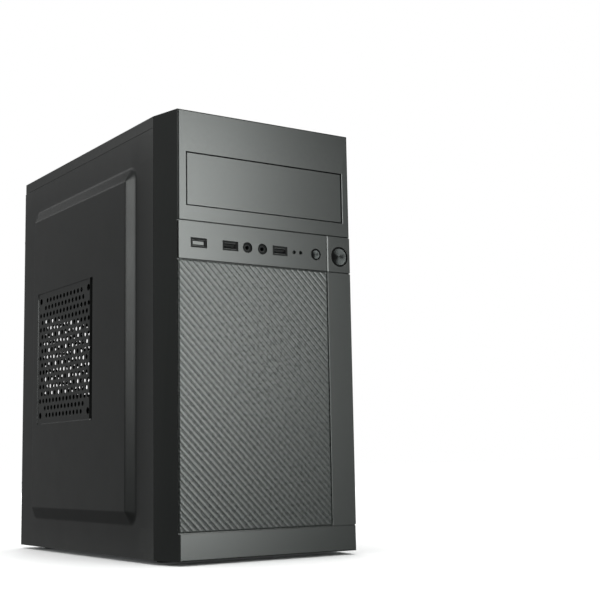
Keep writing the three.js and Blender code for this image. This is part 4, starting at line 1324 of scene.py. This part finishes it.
def board_parts():
    """The small parts of the main board: capacitors, coils, chips, headers and its screws."""
    board = "motherboard"
    low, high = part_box(board)
    face = low.x
    cans, sleeves = bmesh.new(), bmesh.new()
    rows = [((0.116, 0.112), (0.116, 0.144), 4), ((0.016, 0.121), (0.064, 0.121), 5)]
    rows += [((0.104, 0.226), (0.104, 0.248), 3), ((0.010, 0.226), (0.040, 0.226), 4)]
    rows += [((-0.034, 0.066), (-0.034, 0.090), 3), ((0.108, 0.024), (0.108, 0.060), 4)]
    tall, wide = 0.0085, 0.0033
    sleeve = [(0, 0), (0, wide), (tall * 0.16, wide), (tall * 0.2, wide * 0.9), (tall * 0.24, wide)]
    sleeve += [(tall - 0.0006, wide), (tall - 0.0001, wide * 0.88), (tall - 0.0001, 0)]
    top = [(tall - 0.0004, 0), (tall - 0.0004, wide * 0.86), (tall, wide * 0.8), (tall, 0)]
    for y, z in [place for row in rows for place in between_points(*row)]:
        for bm, profile in ((sleeves, sleeve), (cans, top)):
            add_lathe(bm, (face, y, z), "x", [(-a, r) for a, r in profile], 24)
    detail("motherboard_capacitor_sleeves", sleeves, "dark_plastic", board)
    detail("motherboard_capacitor_tops", cans, "aluminium", board)

    coils, leads = bmesh.new(), bmesh.new()
    places = between_points((0.102, 0.150), (0.102, 0.206), 5)
    places += between_points((0.054, 0.230), (0.088, 0.230), 3)
    for y, z in places:
        add_block(coils, (face - 0.0062, y - 0.0044, z - 0.0044), (face - 0.0004, y + 0.0044, z + 0.0044))
        for side in (-1, 1):
            ends = sorted((y + side * 0.0036, y + side * 0.0052))
            add_block(leads, (face - 0.0016, ends[0], z - 0.0015), (face, ends[1], z + 0.0015))
    detail("motherboard_coils", coils, "grey_plastic", board, width=0.0007)

    chips = bmesh.new()
    packages = [(0.112, 0.088, 0.009, 0.009), (0.048, 0.036, 0.012, 0.016), (0.094, 0.066, 0.006, 0.010)]
    packages += [(-0.034, 0.140, 0.012, 0.012), (0.090, 0.118, 0.006, 0.008), (0.030, 0.066, 0.008, 0.006)]
    for y, z, across, along in packages:
        add_chip(chips, leads, face, y, z, across, along, 0.0014)
    detail("motherboard_chips", chips, "dark_plastic", board, width=0.0002)

    headers = bmesh.new()
    pitch, half = 0.00254, 0.0003
    pin_rows = [(y, 0.018, 5, 2) for y in (0.020, 0.060, 0.096)] + [(0.098, 0.134, 4, 1)]
    for y, z, across, rows in pin_rows:
        wide, tall = across * pitch, rows * pitch
        add_block(headers, (face - 0.0025, y - wide / 2, z - tall / 2), (face, y + wide / 2, z + tall / 2))
        for i in range(across):
            for j in range(rows):
                u, v = y - wide / 2 + (i + 0.5) * pitch, z - tall / 2 + (j + 0.5) * pitch
                add_block(leads, (face - 0.0085, u - half, v - half), (face, u + half, v + half))
    near, far = -0.038, -0.030
    for z in (0.104, 0.127):
        outline = [(near, z - 0.008), (far, z - 0.008), (far, z + 0.008), (near, z + 0.008)]
        add_prism(headers, outline, face - 0.003, face, "x")
    detail("motherboard_headers", headers, "dark_plastic", board, width=0.0002)
    detail("motherboard_leads", leads, "zinc_steel", board)

    bm = bmesh.new()
    for y in (low.y + 0.006, 0.046, high.y - 0.030):
        for z in (low.z + 0.007, high.z - 0.007):
            add_screw(bm, (face, y, z), "x", -1, 0.003)
    detail("motherboard_screws", bm, "zinc_steel", board)


def smooth_cable(node):
    """The CAD's cable with a round section."""
    obj = copy_of(node, "_sleeve")
    tidy_faces(obj, 70)
    rounding = obj.modifiers.new("rounding", "SUBSURF")
    rounding.levels = rounding.render_levels = 1
    rounding.use_limit_surface = False
    bpy.context.view_layer.update()
    evaluated(obj)
    for polygon in obj.data.polygons:
        polygon.use_smooth = True
    return settle(obj, "cable_jacket", "chassis", node)


def drive_parts():
    """The hard drive and the screws of its lid."""
    refined("hard_drive", 0.0006, segments=3)
    low, high, (_, middle, _) = spans("hard_drive")
    bm = bmesh.new()
    for x in (low.x + 0.006, high.x - 0.006):
        for y in (low.y + 0.008, middle, high.y - 0.008):
            add_screw(bm, (x, y, high.z - 0.0004), "z", 1, 0.0018)
    detail("hard_drive_screws", bm, "zinc_steel", "hard_drive")


def battery():
    """A coin cell with a stepped edge in a dark holder."""
    node = "cmos_battery"
    low, high, (_, y, z) = spans(node)
    radius = (high.y - low.y) / 2
    cell = [(0.0002, 0), (0.0002, radius - 0.0018), (0.0006, radius - 0.0010), (0.0008, radius - 0.0003)]
    cell += [(0.0032, radius - 0.0003), (0.0032, 0)]
    detail(node + "_cell", turned((low.x, y, z), "x", cell), "zinc_steel", node, node)
    holder = [(0, 0), (0, radius + 0.0010), (-0.0024, radius + 0.0006), (-0.0026, radius - 0.0001)]
    holder += [(-0.0010, radius - 0.0001), (-0.0010, 0)]
    detail(node + "_holder", turned((high.x, y, z), "x", holder), "dark_plastic", node)


make_camera()
make_studio()
make_floor(materials["floor_white"])
side_panel("left", -1, True)
side_panel("right", 1, False)
front_bezel()
twill_panel()
push_button("power_button")
push_button("reset_button")
refined("io_strip", 0.00025)
edged_plate("power_button_plate", 0.0012, 0.00011)
edged_plate("plain_strip", 0.0007, 0.00003)
bay_cover()
usb_port("usb_port_left", "grey_plastic", 0.0028)
usb_port("usb_port_middle", "shaded_plastic", 0.0018)
usb_port("usb_port_right", "shaded_plastic", 0.0018)
audio_jack("audio_jack_left")
audio_jack("audio_jack_right")
lamp("power_led")
lamp("drive_led")
refined("top_cover", 0.0003)
for side in ("left", "right"):
    for i in (1, 2):
        knurled_screw(f"{side}_thumbscrew_{i}")
for i in range(1, 5):
    rubber_foot(f"foot_{i}")
rear_screws()
rear_sockets()
fan_rotor("cpu_fan_rotor", "x", 0.036, 0.017, 7)
fan_rotor("power_supply_fan_rotor", "z", 0.054, 0.019, 7)
fan_guard()
finned_cooler()
fan_frame()
memory()
board_parts()
drive_parts()
battery()
smooth_cable("main_power_cable")
smooth_cable("data_cable")
smooth_cable("front_panel_cable")

DONE = {n for o in bpy.data.objects for n in o.get("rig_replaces", [])}
for name, obj in frame["nodes"].items():
    if name not in DONE:
        refined(name, 0.0002)

bpy.context.scene.view_settings.view_transform = "Standard"
